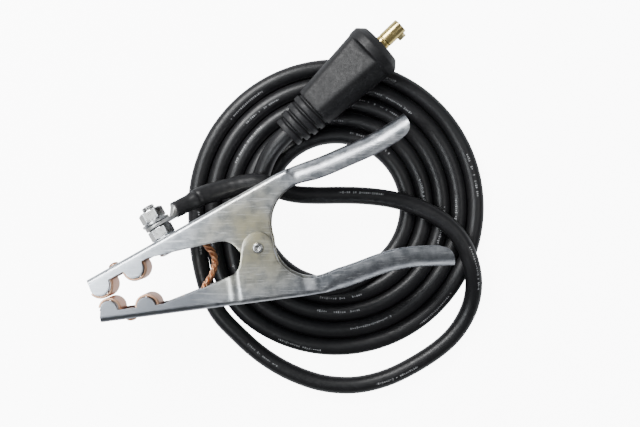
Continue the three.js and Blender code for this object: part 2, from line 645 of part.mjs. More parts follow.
/** Outer outline of the sleeve, rear to face, as [radius, x]. */
function sleeveOutside() {
  const points = [];
  SLEEVE_RIBS.forEach((r, k) => {
    const x = k * RIB_PITCH;
    points.push([r - 0.3, x], [r, x + 0.3], [r, x + RIB_WIDTH]);
    points.push([r - RIB_HEIGHT, x + RIB_WIDTH + 0.5], [r - RIB_HEIGHT, x + RIB_PITCH - 0.3]);
  });
  const bodyStart = SLEEVE_RIBS.length * RIB_PITCH;
  const collar = SLEEVE_LENGTH - NOSE_CHAMFER - COLLAR_WIDTH;
  points.push([SLEEVE_BODY[0], bodyStart], [SLEEVE_BODY[1], collar - 0.6], [COLLAR_R, collar]);
  points.push([COLLAR_R, SLEEVE_LENGTH - NOSE_CHAMFER], [COLLAR_R - NOSE_CHAMFER, SLEEVE_LENGTH]);
  return points;
}

/** Rubber sleeve: ribbed tail, body with two flats, round collar; bored for cable, core and pin. */
function plugSleeve() {
  const outside = sleeveOutside();
  const pinBore = PIN_R + GAP;
  const coreBore = CORE_R + GAP;
  const cableBore = CABLE_R + GAP;
  const face = SLEEVE_LENGTH + 0.6;
  const inside = [
    [pinBore, face], [pinBore, CORE[1] + GAP], [coreBore, CORE[1] + GAP], [coreBore, CORE[0] - GAP],
    [cableBore, CORE[0] - GAP], [cableBore, 0],
  ];
  const body = turnedAboutX([...outside, ...inside, outside[0]], 24);
  const start = SLEEVE_RIBS.length * RIB_PITCH;
  const end = SLEEVE_LENGTH - NOSE_CHAMFER - COLLAR_WIDTH;
  const half = SLEEVE_FLATS / 2;
  const sides = [90, 270].map((a) => (
    block(start, end, half, half + 9, -REACH, REACH).rotate([a + FLATS_TURN, 0, 0])
  ));
  return cut(body, ...sides);
}

/** Brass core and contact pin in one piece, with its twist-lock key and screw holes. */
function plugPin() {
  const tip = SLEEVE_LENGTH + PIN_OUT;
  const core = turnedAboutX([
    [0, CORE[0]], [CORE_R, CORE[0]], [CORE_R, CORE[1]], [PIN_R, CORE[1]],
    [PIN_R, tip - 0.8], [PIN_R - 0.8, tip], [0, tip],
  ], 28);
  const key = block(tip - 1.6 - PIN_KEY.long, tip - 1.6, 0, PIN_R + PIN_KEY.high,
    -PIN_KEY.wide / 2, PIN_KEY.wide / 2).rotate([PIN_KEY.turn, 0, 0]);
  const socket = turnedAboutX([
    [0, CORE[0] - 1], [SOCKET_R, CORE[0] - 1], [SOCKET_R, CORE[0] + SOCKET_DEPTH],
    [0, CORE[0] + SOCKET_DEPTH + 1.5],
  ], 20);
  const holes = SCREW_AT.map((x) => rodAlongY(x, 0, CORE_R + 1, SCREW_R + GAP, 16));
  return cut(join(core, key), socket, ...holes);
}

/** Grub screw that clamps the ferrule, with a hexagon socket. */
function setScrew(x) {
  const [y0, y1] = [FERRULE_R + GAP, CORE_R - 0.8];
  const body = rodAlongY(0, y0, y1, SCREW_R, 16);
  return cut(body, slabAlongY(hexShape(2.5, 0), y1 - 1.8, y1 + 1)).translate([x, 0, 0]);
}

/** Copper ferrule round the strands in the plug's socket. */
function ferrule() {
  const bore = CONDUCTOR_R + GAP;
  const [x0, x1] = [CORE[0] + 1, CORE[0] + SOCKET_DEPTH - 1];
  return turnedAboutX([[bore, x0], [FERRULE_R, x0], [FERRULE_R, x1], [bore, x1], [bore, x0]], 20);
}

/** Bare strands from the end of the jacket into the ferrule. */
function plugConductor() {
  const last = TAIL_ROUTE[TAIL_ROUTE.length - 1];
  const inside = new THREE.Vector3(...last).distanceTo(new THREE.Vector3(...PLUG.at));
  const [x0, x1] = [inside + 2 * GAP, CORE[0] + SOCKET_DEPTH - 1.5];
  return turnedAboutX([[0, x0], [CONDUCTOR_R, x0], [CONDUCTOR_R, x1], [0, x1]], 14);
}

// ---------------------------------------------------------------- assembly

/** Upper arm with its contact, terminal, pivot and spring. */
function upperArm(lowerAngle) {
  const arm = new THREE.Group();
  arm.rotation.z = UPPER_ANGLE;
  const rivetX = TIP + CONTACT_RIVET_X;
  const boltX = TIP + BOLT_X;
  const rivetHole = [rivetX, CONTACT_SHANK_R + GAP];
  const boltHole = [boltX, BOLT_R + GAP];
  arm.add(piece('upper_arm', armSolid(UPPER, false, [rivetHole, boltHole]), ZINC));
  arm.add(piece('upper_contact', contactStrip(UPPER, boltX + 7.2, [rivetHole, boltHole]), COPPER));
  arm.add(piece('upper_contact_rivet', contactRivet(UPPER), COPPER));
  arm.add(piece('link_terminal_upper', linkTerminal(UPPER, boltX, 6.8, BOLT_R + GAP), COPPER));
  arm.add(cableTerminal(boltX));
  return arm;
}

/** Bolt, nuts, washer and lug, standing on the upper web. */
function cableTerminal(boltX) {
  const stack = terminalStack();
  const terminal = new THREE.Group();
  terminal.position.x = boltX;
  const bore = BOLT_R + GAP;
  const nut = (y) => slabAlongY(hexShape(NUT_FLATS, bore), y, y + NUT_H);
  terminal.add(piece('terminal_bolt', terminalBolt(), BRIGHT));
  terminal.add(piece('terminal_nut_inner', nut(stack.inner), BRIGHT));
  terminal.add(piece('terminal_nut_outer', nut(stack.outer), BRIGHT));
  const washer = slabAlongY(ringShape(WASHER_R, bore), stack.washer, stack.washer + WASHER_H, 12);
  terminal.add(piece('terminal_washer', washer, BRIGHT));
  const lug = new THREE.Group();
  lug.rotation.y = LUG_TILT;
  lug.add(piece('cable_lug', cableLug(), TINNED));
  lug.add(piece('lug_conductor', lugConductor(), COPPER));
  terminal.add(lug);
  return terminal;
}

/** Lower arm with its contact; turned over about X so that its web faces down. */
function lowerArm(lowerAngle) {
  const arm = new THREE.Group();
  arm.rotation.set(Math.PI, 0, lowerAngle, 'ZYX');
  const rivetX = TIP + CONTACT_RIVET_X;
  const linkX = TIP + LINK_RIVET_X;
  const holes = [[rivetX, CONTACT_SHANK_R + GAP], [linkX, CONTACT_SHANK_R + GAP]];
  arm.add(piece('lower_arm', armSolid(LOWER, true, holes), ZINC));
  arm.add(piece('lower_contact', contactStrip(LOWER, linkX + 4.2, holes), COPPER));
  arm.add(piece('lower_contact_rivet', contactRivet(LOWER), COPPER));
  arm.add(piece('link_terminal_lower', linkTerminal(LOWER, linkX, 3.8, CONTACT_SHANK_R + GAP), COPPER));
  arm.add(piece('link_rivet', linkRivet(), COPPER));
  return arm;
}

/** Whole clamp, lying on its side over the coil. */
function clamp() {
  const lowerAngle = closedAngle();
  const group = new THREE.Group();
  group.position.z = CLAMP_HEIGHT;
  group.add(upperArm(lowerAngle), lowerArm(lowerAngle));
  group.add(piece('pivot_rivet', pivotRivet(), BRIGHT));
  group.add(piece('pivot_spacer', pivotSpacer(), BRIGHT));
  group.add(piece('torsion_spring', torsionSpring(lowerAngle), SPRING_STEEL));
  group.add(piece('copper_link', copperLink(lowerAngle), COPPER));
  return group;
}

/** Plug on the cable's end, its tail lying on the coil. */
function plug() {
  const group = new THREE.Group();
  group.position.set(...PLUG.at);
  group.rotation.set(0, -PLUG.rise, PLUG.turn, 'ZYX');
  group.add(piece('plug_sleeve', plugSleeve(), SLEEVE_RUBBER));
  group.add(piece('plug_pin', plugPin(), BRASS));
  SCREW_AT.forEach((x, i) => group.add(piece(`plug_screw_${i + 1}`, setScrew(x), SPRING_STEEL)));
  group.add(piece('plug_ferrule', ferrule(), COPPER));
  group.add(piece('plug_conductor', plugConductor(), COPPER));
  return group;
}

/** Cable: loose run from the lug, coil, run into the plug, and the sleeve at the lug. */
function cable() {
  const group = new THREE.Group();
  group.add(piece('cable_lead', cableRun(LEAD_ROUTE, 60), CABLE_RUBBER));
  group.add(piece('cable_coil', coilRing(), CABLE_RUBBER));
  group.add(piece('cable_tail', cableRun(TAIL_ROUTE, 18), CABLE_RUBBER));
  group.add(piece('heat_shrink', heatShrink(), SHRINK_BLACK));
  return group;
}

const earthClamp = new THREE.Group();
earthClamp.add(clamp(), cable(), plug());

export default earthClamp;
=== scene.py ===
"""Welding earth clamp on its coiled lead: detailed pieces, finishes, camera and studio."""

import json
import logging
from collections.abc import Callable, Sequence
from dataclasses import dataclass, field
from enum import Enum
from functools import reduce
from math import acos, asin, atan2, copysign, cos, exp, log as ln, pi, radians, sin, sqrt

import bmesh
import bpy
from mathutils import Matrix, Vector, noise

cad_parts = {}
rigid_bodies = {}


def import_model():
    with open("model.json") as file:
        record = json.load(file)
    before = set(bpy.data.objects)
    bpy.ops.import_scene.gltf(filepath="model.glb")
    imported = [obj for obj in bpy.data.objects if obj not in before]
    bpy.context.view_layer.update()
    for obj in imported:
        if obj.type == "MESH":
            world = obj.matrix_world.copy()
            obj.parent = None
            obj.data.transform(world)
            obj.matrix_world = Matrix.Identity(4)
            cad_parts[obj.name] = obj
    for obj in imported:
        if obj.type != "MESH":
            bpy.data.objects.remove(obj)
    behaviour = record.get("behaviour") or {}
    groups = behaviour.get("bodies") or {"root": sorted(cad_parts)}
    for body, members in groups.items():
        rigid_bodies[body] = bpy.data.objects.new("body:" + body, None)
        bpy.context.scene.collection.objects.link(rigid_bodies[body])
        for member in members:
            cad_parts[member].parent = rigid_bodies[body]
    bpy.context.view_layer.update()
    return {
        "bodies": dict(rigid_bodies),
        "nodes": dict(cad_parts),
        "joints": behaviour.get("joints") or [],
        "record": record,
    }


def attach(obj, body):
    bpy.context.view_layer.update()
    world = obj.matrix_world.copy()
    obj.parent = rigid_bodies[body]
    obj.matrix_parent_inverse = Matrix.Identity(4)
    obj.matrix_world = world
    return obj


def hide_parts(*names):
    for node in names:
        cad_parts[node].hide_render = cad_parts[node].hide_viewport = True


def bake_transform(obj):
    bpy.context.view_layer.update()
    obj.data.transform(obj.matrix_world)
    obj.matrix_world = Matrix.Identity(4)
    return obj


log = logging.getLogger("earth_clamp")

MM = 0.001
TAU = 2 * pi


class Body(str, Enum):
    """Bodies that pieces ride on."""

    UPPER = "upper_half"
    LOWER = "lower_half"


class Look(Enum):
    """Finishes: name of the material, and the record's slot it belongs to."""

    ZINC = ("zinc_plate", "zinc_steel")
    BRIGHT = ("galvanised", "bright_steel")
    SPRING = ("spring_wire", "spring_steel")
    COPPER = ("copper_strip", "copper")
    STRANDS = ("copper_strands", "copper")
    BRASS = ("brass_pin", "brass")
    TINNED = ("tinned_lug", "tinned_copper")
    CABLE = ("cable_jacket", "cable_rubber")
    SLEEVE = ("plug_rubber", "sleeve_rubber")
    SHRINK = ("shrink_tube", "shrink_sleeve")


Socket = bpy.types.NodeSocket
BMesh = bmesh.types.BMesh
Materials = dict[Look, bpy.types.Material]
Colour = tuple[float, float, float]
Points = list[tuple[float, float]]


# ---------------------------------------------------------------- lines in space


def smooth_line(points: Sequence[Sequence[float]], per_span: int = 24) -> list[Vector]:
    """Centripetal Catmull-Rom line through points.

    Args:
        points: Points the line goes through.
        per_span: Samples between two neighbouring points.

    Returns:
        Dense samples of the line, both ends included.
    """
    pts = [Vector(p) for p in points]
    pts = [2 * pts[0] - pts[1], *pts, 2 * pts[-1] - pts[-2]]
    line = []
    for a, b, c, d in zip(pts, pts[1:], pts[2:], pts[3:]):
        before, here, after = (sqrt((q - p).length) for p, q in ((a, b), (b, c), (c, d)))
        start = ((b - a) / before - (c - a) / (before + here) + (c - b) / here) * here
        end = ((c - b) / here - (d - b) / (here + after) + (d - c) / after) * here
        for i in range(per_span):
            t = i / per_span
            line.append(
                b * (2 * t**3 - 3 * t**2 + 1)
                + start * (t**3 - 2 * t**2 + t)
                + c * (3 * t**2 - 2 * t**3)
                + end * (t**3 - t**2)
            )
    return [*line, pts[-2].copy()]


def evenly(line: Sequence[Vector], step: float) -> list[Vector]:
    """Resample a line at even distances.

    Args:
        line: Dense samples.
        step: Wanted distance between neighbours.

    Returns:
        Evenly spaced points from the first sample to the last.
    """
    run = [0.0]
    for p, q in zip(line, line[1:]):
        run.append(run[-1] + (q - p).length)
    count = max(2, round(run[-1] / step))
    out, k = [], 0
    for i in range(count + 1):
        target = run[-1] * i / count
        while k < len(run) - 2 and run[k + 1] < target:
            k += 1
        span = run[k + 1] - run[k]
        out.append(line[k].lerp(line[k + 1], (target - run[k]) / span if span else 0.0))
    return out


def line_length(line: Sequence[Vector]) -> float:
    """Length of a line of points."""
    return sum((q - p).length for p, q in zip(line, line[1:]))


def step_between(x: float, low: float, high: float) -> float:
    """Smooth step from 0 at low to 1 at high."""
    t = min(1.0, max(0.0, (x - low) / (high - low)))
    return t * t * (3 - 2 * t)


def arc(x: float, y: float, r: float, start: float, end: float, count: int) -> list[Vector]:
    """Points of an arc, its angles in degrees."""
    angles = [radians(start + (end - start) * i / count) for i in range(count + 1)]
    return [Vector((x + r * cos(a), y + r * sin(a))) for a in angles]


def bezier(a: Vector, b: Vector, c: Vector, count: int) -> list[Vector]:
    """Points of a quadratic curve from a to c, without a itself."""
    shares = [i / count for i in range(1, count + 1)]
    return [a * (1 - t) ** 2 + b * 2 * t * (1 - t) + c * t * t for t in shares]


@dataclass
class Guide:
    """A line with a cross frame at each point, kept upright against the Z axis."""

    points: list[Vector]

    def frame(self, i: int) -> tuple[Vector, Vector, Vector]:
        """Point, sideways direction and upward direction at sample i."""
        last = len(self.points) - 1
        along = (self.points[min(i + 1, last)] - self.points[max(i - 1, 0)]).normalized()
        side = along.cross(Vector((0, 0, 1))).normalized()
        return self.points[i], side, side.cross(along)

    def around(self, i: int, angle: float, radius: float) -> Vector:
        """Point at a distance from the line, at an angle that is 0 sideways and a quarter upwards."""
        at, side, up = self.frame(i)
        return at + radius * (cos(angle) * side + sin(angle) * up)


# ---------------------------------------------------------------- meshes


def sheet_mesh(columns: int, rows: int, shape: Callable[[int, int], Vector]) -> BMesh:
    """Grid moved point by point onto a surface, with a UV layer that keeps the flat grid.

    Args:
        columns: Faces along the first direction.
        rows: Faces along the second direction.
        shape: Place of grid point (column, row).

    Returns:
        The mesh, with points that fall together merged.
    """
    bm = bmesh.new()
    bm.loops.layers.uv.new("run")
    bmesh.ops.create_grid(bm, x_segments=columns, y_segments=rows, size=0.5, calc_uvs=True)
    for v in bm.verts:
        v.co = shape(round((v.co.x + 0.5) * columns), round((v.co.y + 0.5) * rows))
    bmesh.ops.remove_doubles(bm, verts=bm.verts, dist=1e-5)
    return bm


def tube_mesh(guide: Guide, sides: int, radius: Callable[[int, float], float]) -> BMesh:
    """Open tube round a guide.

    Args:
        guide: Middle line.
        sides: Faces around.
        radius: Radius at (sample, angle).

    Returns:
        The mesh; its UV runs along in u and around in v.
    """

    def shape(i: int, j: int) -> Vector:
        """Point of the tube's skin."""
        angle = TAU * (j % sides) / sides
        return guide.around(i, angle, radius(i, angle))

    return sheet_mesh(len(guide.points) - 1, sides, shape)


def turned_mesh(
    profile: Points, sides: int, shape: Callable[[float, float, float], float] | None = None
) -> BMesh:
    """Solid of revolution about X, its profile spun through a full turn.

    Args:
        profile: Points as (radius, x); radius 0 closes an end.
        sides: Faces around.
        shape: Radius from (radius, x, angle), for flats, facets or threads.

    Returns:
        The closed mesh.
    """

    def place(i: int, j: int) -> Vector:
        """Point of the turned skin."""
        r, x = profile[i]
        angle = TAU * (j % sides) / sides
        if shape:
            r = shape(r, x, angle)
        return Vector((x, r * cos(angle), r * sin(angle)))

    return sheet_mesh(len(profile) - 1, sides, place)


def eased(profile: Points, cut: float, steps: int = 3) -> Points:
    """Round the corners of an open profile.

    Args:
        profile: Corner points.
        cut: Distance from each corner where its round begins.
        steps: Segments of each round.

    Returns:
        The profile with its inner corners rounded.
    """
    pts = [Vector(p) for p in profile]
    out = [pts[0]]
    for a, b, c in zip(pts, pts[1:], pts[2:]):
        into, onto = a - b, c - b
        p = b + into.normalized() * min(cut, into.length * 0.45)
        q = b + onto.normalized() * min(cut, onto.length * 0.45)
        out += [p, *bezier(p, b, q, steps)]
    return [tuple(p) for p in [*out, pts[-1]]]


def hexagonal(flats: float) -> Callable[[float, float, float], float]:
    """Radius limit that cuts a turned solid to a hexagon of the given width."""

    def limit(r: float, _x: float, angle: float) -> float:
        """Radius held inside the hexagon."""
        return min(r, flats / 2 / cos((angle % (TAU / 6)) - TAU / 12))

    return limit


def joined(*parts: BMesh) -> BMesh:
    """One mesh that holds several; the parts are freed."""
    whole = parts[0]
    for part in parts[1:]:
        held = bpy.data.meshes.new("held")
        part.to_mesh(held)
        part.free()
        whole.from_mesh(held)
        bpy.data.meshes.remove(held)
    return whole


def shown(name: str, data: bpy.types.ID) -> bpy.types.Object:
    """New object in the scene that shows the data."""
    obj = bpy.data.objects.new(name, data)
    bpy.context.scene.collection.objects.link(obj)
    return obj


@dataclass
class Maker:
    """Turns meshes in millimetres into named pieces that ride on the frame."""

    materials: Materials
    made: list[str] = field(default_factory=list)

    def piece(
        self,
        name: str,
        bm: BMesh,
        place: Matrix,
        look: Look,
        body: Body | None,
        *nodes: str,
        sharp: float = 40.0,
        sheet: bool = False,
    ) -> bpy.types.Object:
        """Finish a mesh as an object.

        Args:
            name: Name of the piece.
            bm: Mesh in its own millimetres; it is freed.
            place: Matrix from those millimetres to the row frame's millimetres.
            look: Finish.
            body: Body it rides on, or None for a piece that rides on no body.
            nodes: CAD nodes it replaces.
            sharp: Edges bent by more than this many degrees stay sharp.
            sheet: An open surface, whose faces already look outwards.

        Returns:
            The new object.
        """
        bmesh.ops.transform(bm, matrix=Matrix.Scale(MM, 4) @ place, verts=bm.verts)
        if not sheet:
            bmesh.ops.recalc_face_normals(bm, faces=bm.faces)
        mesh = bpy.data.meshes.new(name)
        bm.to_mesh(mesh)
        bm.free()
        mesh.polygons.foreach_set("use_smooth", [True] * len(mesh.polygons))
        mesh.set_sharp_from_angle(angle=radians(sharp))
        obj = shown(name, mesh)
        self.dress(obj, look)
        if body:
            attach(obj, body.value)
        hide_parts(*nodes)
        self.made.append(name)
        log.info("%s: %d faces", name, len(mesh.polygons))
        return obj

    def dress(self, obj: bpy.types.Object, look: Look) -> None:
        """Give an object its only material."""
        obj.data.materials.clear()
        obj.data.materials.append(self.materials[look])

    @staticmethod
    def thicken(obj: bpy.types.Object, thickness: float, offset: float = -1.0) -> None:
        """Give a surface its thickness in millimetres; offset -1 grows inwards, 0 both ways."""
        solid = obj.modifiers.new("thickness", "SOLIDIFY")
        solid.thickness = thickness * MM
        solid.offset = offset
        solid.use_even_offset = offset == 0

    @staticmethod
    def soften(obj: bpy.types.Object, width: float, segments: int = 2, angle: float = 50.0) -> None:
        """Bevel the sharp edges by a width in millimetres."""
        bevel = obj.modifiers.new("edges", "BEVEL")
        bevel.width = width * MM
        bevel.segments = segments
        bevel.limit_method = "ANGLE"
        bevel.angle_limit = radians(angle)


# ---------------------------------------------------------------- finishes

class Graph:
    """Node graph of one material."""

    def __init__(self, name: str) -> None:
        """Start from a principled shader."""
        self.material = bpy.data.materials.new(name)
        self.material.use_nodes = True
        self.tree = self.material.node_tree
        self.shader = self.tree.nodes["Principled BSDF"]
        self.where = self.tree.nodes.new("ShaderNodeTexCoord").outputs["Object"]

    def feed(self, socket: Socket, value: object) -> None:
        """Set a socket to a constant, or link it to another node's output."""
        if isinstance(value, Socket):
            self.tree.links.new(value, socket)
        elif isinstance(value, tuple) and len(value) == 3 and socket.type == "RGBA":
            socket.default_value = (*value, 1.0)
        else:
            socket.default_value = value

    def stretched(self, scale: Colour, turn: float = 0.0) -> Socket:
        """Object coordinates scaled by axis and turned about Z in degrees."""
        node = self.tree.nodes.new("ShaderNodeMapping")
        self.feed(node.inputs["Vector"], self.where)
        node.inputs["Rotation"].default_value = (0, 0, radians(turn))
        node.inputs["Scale"].default_value = scale
        return node.outputs[0]

    def noise(
        self, scale: float, detail: float = 3.0, rough: float = 0.5, where: Socket | None = None
    ) -> Socket:
        """Noise value; the scale is in features per metre."""
        node = self.tree.nodes.new("ShaderNodeTexNoise")
        self.feed(node.inputs["Vector"], where or self.where)
        for name, value in (("Scale", scale), ("Detail", detail), ("Roughness", rough)):
            node.inputs[name].default_value = value
        return node.outputs[0]

    def calc(self, kind: str, a: object, b: object = 0.0) -> Socket:
        """Result of a math node."""
        node = self.tree.nodes.new("ShaderNodeMath")
        node.operation = kind
        self.feed(node.inputs[0], a)
        self.feed(node.inputs[1], b)
        return node.outputs[0]

    def product(self, *factors: object) -> Socket:
        """Product of values and constants."""
        return reduce(lambda a, b: self.calc("MULTIPLY", a, b), factors)

    def apart(self, vector: Socket) -> list[Socket]:
        """Three components of a vector."""
        node = self.tree.nodes.new("ShaderNodeSeparateXYZ")
        self.feed(node.inputs[0], vector)
        return list(node.outputs)

    def along_and_around(self) -> list[Socket]:
        """Shares along and around a cord or wire, from its UV."""
        node = self.tree.nodes.new("ShaderNodeUVMap")
        node.uv_map = "run"
        return self.apart(node.outputs[0])[:2]

    def span(
        self, value: Socket, low: float, high: float, to: tuple[float, float] = (0, 1)
    ) -> Socket:
        """Value mapped from low..high onto a range, and held inside it."""
        node = self.tree.nodes.new("ShaderNodeMapRange")
        self.feed(node.inputs["Value"], value)
        for name, v in (("From Min", low), ("From Max", high), ("To Min", to[0]), ("To Max", to[1])):
            node.inputs[name].default_value = v
        return node.outputs[0]

    def mix(self, share: object, a: object, b: object) -> Socket:
        """Colour between a and b."""
        node = self.tree.nodes.new("ShaderNodeMix")
        node.data_type = "RGBA"
        self.feed(node.inputs[0], share)
        self.feed(node.inputs[6], a)
        self.feed(node.inputs[7], b)
        return node.outputs[2]

    def edge_wear_and_sheen(self, low: float = 0.505, high: float = 0.56) -> Socket:
        """Share that rises along outward edges, used for edge wear and a painted edge sheen."""
        point = self.tree.nodes.new("ShaderNodeNewGeometry").outputs["Pointiness"]
        return self.span(point, low, high)

    def bump(self, height: Socket, strength: float, depth: float) -> None:
        """Relief from a height; the depth is in metres. Calls add up."""
        node = self.tree.nodes.new("ShaderNodeBump")
        node.inputs["Strength"].default_value = strength
        node.inputs["Distance"].default_value = depth
        self.feed(node.inputs["Height"], height)
        for link in self.shader.inputs["Normal"].links:
            self.feed(node.inputs["Normal"], link.from_socket)
        self.feed(self.shader.inputs["Normal"], node.outputs[0])

    def end(self, **values: object) -> bpy.types.Material:
        """Set the shader's sockets, their names with underscores for spaces, and return the material."""
        for name, value in values.items():
            self.feed(self.shader.inputs[name.replace("_", " ")], value)
        return self.material


@dataclass(frozen=True)
class Metal:
    """Plated or bare metal with patches, fine scratches and brighter edges, the edges partly wear and partly
    a painted highlight.
    """

    light: Colour
    dark: Colour
    tint: Colour
    roughness: tuple[float, float]
    patch: float
    # pale colour of the scratches, and of the painted highlight along edges
    edge: Colour = (0.86, 0.88, 0.9)
    tint_share: float = 0.5
    scratch: float = 0.12
    grain: float = 0.1

    def tone(self, g: Graph, patches: Socket) -> Socket:
        """Base colour from the patches."""
        colour = g.mix(patches, self.dark, self.light)
        drift = g.span(g.noise(self.patch * 0.22, 2, 0.5), 0.42, 0.62, (0, self.tint_share))
        # painted highlight and wear: outward edges mixed towards the pale edge colour
        return g.mix(g.edge_wear_and_sheen(), g.mix(drift, colour, self.tint), self.edge)

    def build(self, name: str) -> bpy.types.Material:
        """Make the material."""
        g = Graph(name)
        patches = g.span(g.noise(self.patch, 6, 0.62), 0.36, 0.66)
        colour = self.tone(g, patches)
        fine = g.noise(1, 4, 0.7, g.stretched((60, 2600, 2600), 22))
        cross = g.noise(1, 4, 0.7, g.stretched((2200, 90, 2200), -38))
        rough = g.span(g.calc("ADD", patches, fine), 0.4, 1.5, self.roughness)
        g.bump(g.calc("MAXIMUM", fine, cross), self.scratch, 0.00008)
        g.bump(g.noise(3200, 2), self.grain, 0.00005)
        return g.end(Base_Color=colour, Roughness=rough, Metallic=1.0)


@dataclass(frozen=True)
class Plate(Metal):
    """Scratched zinc: warm round the pivot, with a painted highlight that pales the jaws and painted shade
    that darkens the lower jaw.
    """

    scratches: tuple[float, float, float] = (70, 900, 900)
    scratch_turn: float = -62.0
    jaw_highlight: Colour = (0.78, 0.84, 0.9)
    jaw_highlight_at: tuple[float, float] = (-0.045, -0.085)
    pivot: tuple[float, float, float] = (-0.002, 0.004, 0.0445)
    warm_reach: tuple[float, float] = (0.042, 0.012)
    shade: Colour = (0.2, 0.21, 0.23)
    lower_slope: float = 0.38
    lower_shade_at: tuple[float, float] = (0.006, 0.003)
    shade_from: tuple[float, float] = (-0.012, -0.04)

    def tone(self, g: Graph, patches: Socket) -> Socket:
        """Base colour from the patches and the place on the arms, with a painted highlight on the jaws and
        painted shade on the lower jaw.
        """
        colour = g.mix(patches, self.dark, self.light)
        scratch = g.noise(1, 4, 0.7, g.stretched(self.scratches, self.scratch_turn))
        colour = g.mix(g.span(scratch, 0.54, 0.66), colour, self.edge)
        x, y, _ = g.apart(g.where)
        # painted highlight: the jaws paled towards a cool colour
        colour = g.mix(g.span(x, *self.jaw_highlight_at, (0.0, 0.55)), colour, self.jaw_highlight)
        # painted shade: the lower jaw darkened towards the shade colour
        below = g.span(g.calc("SUBTRACT", y, g.product(x, self.lower_slope)), *self.lower_shade_at)
        painted_shade = g.product(below, g.span(x, *self.shade_from, (0, 0.9)))
        colour = g.mix(painted_shade, colour, self.shade)
        away = g.tree.nodes.new("ShaderNodeVectorMath")
        away.operation = "DISTANCE"
        g.feed(away.inputs[0], g.where)
        away.inputs[1].default_value = self.pivot
        near = g.span(away.outputs["Value"], *self.warm_reach, (0.0, self.tint_share))
        blotch = g.span(g.noise(self.patch * 0.5, 4, 0.6), 0.35, 0.6, (0.35, 1.0))
        return g.mix(g.product(near, blotch), colour, self.tint)


@dataclass(frozen=True)
class Wire(Metal):
    """Metal drawn to fine strands that run along the UV, with painted shade in the grooves between them."""

    strands: float = 9.0
    lay: float = 26.0

    def build(self, name: str) -> bpy.types.Material:
        """Make the material."""
        g = Graph(name)
        along, around = g.along_and_around()
        turn = g.calc("ADD", g.product(around, self.strands), g.product(along, self.lay))
        ridge = g.calc("ABSOLUTE", g.calc("SINE", g.product(turn, pi)))
        patches = g.span(g.noise(self.patch, 5, 0.6), 0.35, 0.65)
        colour = g.mix(patches, self.dark, self.light)
        # painted shade: grooves between strands darkened towards the tint
        colour = g.mix(g.span(ridge, 0.1, 0.6, (0.75, 0)), colour, self.tint)
        g.bump(ridge, 0.6, 0.00025)
        return g.end(Base_Color=colour, Roughness=g.span(patches, 0, 1, self.roughness), Metallic=1.0)


@dataclass(frozen=True)
class Rubber:
    """Black or grey rubber with a mottled sheen and a fine grain."""

    light: Colour
    dark: Colour
    roughness: tuple[float, float]
    grain: float
    grain_size: float = 1500.0
    specular: float = 0.4

    def graph(self, name: str) -> tuple[Graph, Socket]:
        """Graph with its relief, and the base colour's socket."""
        g = Graph(name)
        patches = g.span(g.noise(110, 5, 0.65), 0.3, 0.7)
        colour = g.mix(patches, self.dark, self.light)
        # edges lighter: partly wear, partly a painted sheen
        colour = g.mix(g.edge_wear_and_sheen(0.51, 0.6), colour, tuple(2.2 * c for c in self.light))
        g.bump(g.noise(self.grain_size, 3, 0.6), self.grain, 0.0001)
        g.bump(g.noise(160, 3), 0.25, 0.0004)
        rough = g.span(g.noise(420, 4, 0.6), 0.3, 0.7, self.roughness)
        g.end(Roughness=rough, Specular_IOR_Level=self.specular)
        return g, colour

    def build(self, name: str) -> bpy.types.Material:
        """Make the material."""
        g, colour = self.graph(name)
        return g.end(Base_Color=colour)


@dataclass(frozen=True)
class PrintedRubber(Rubber):
    """Cable jacket with a line of pale generic marks along it; lengths in metres."""

    length: float = 2.6
    ink: Colour = (0.42, 0.43, 0.44)
    word: float = 0.027
    every: float = 0.089
    stroke: float = 0.0013
    inked: float = 0.62
    kept: float = 0.86
    band: float = 0.024
    sway: tuple[float, float] = (9.0, 0.07)
    middle: float = 0.25

    def build(self, name: str) -> bpy.types.Material:
        """Make the material."""
        g, colour = self.graph(name)
        along, around = g.along_and_around()
        along = g.product(along, self.length)
        drift = g.product(g.calc("SINE", g.product(along, self.sway[0])), self.sway[1])
        off = g.calc("ABSOLUTE", g.calc("SUBTRACT", around, g.calc("ADD", drift, self.middle)))
        strokes = g.calc("DIVIDE", along, self.stroke)
        chance = g.tree.nodes.new("ShaderNodeTexWhiteNoise")
        chance.noise_dimensions = "1D"
        g.feed(chance.inputs["W"], g.calc("FLOOR", strokes))
        luck = chance.outputs[0]
        tall = g.product(g.calc("ADD", g.product(luck, 0.6), 0.4), self.band)
        words = g.calc("FRACT", g.calc("DIVIDE", along, self.every))
        marks = g.product(
            g.calc("LESS_THAN", off, tall),
            g.calc("LESS_THAN", g.calc("FRACT", strokes), self.inked),
            g.calc("LESS_THAN", words, self.word / self.every),
            g.calc("LESS_THAN", luck, self.kept),
        )
        faded = g.product(marks, g.span(g.noise(900, 3), 0.35, 0.6, (0.25, 0.85)))
        return g.end(Base_Color=g.mix(faded, colour, self.ink))


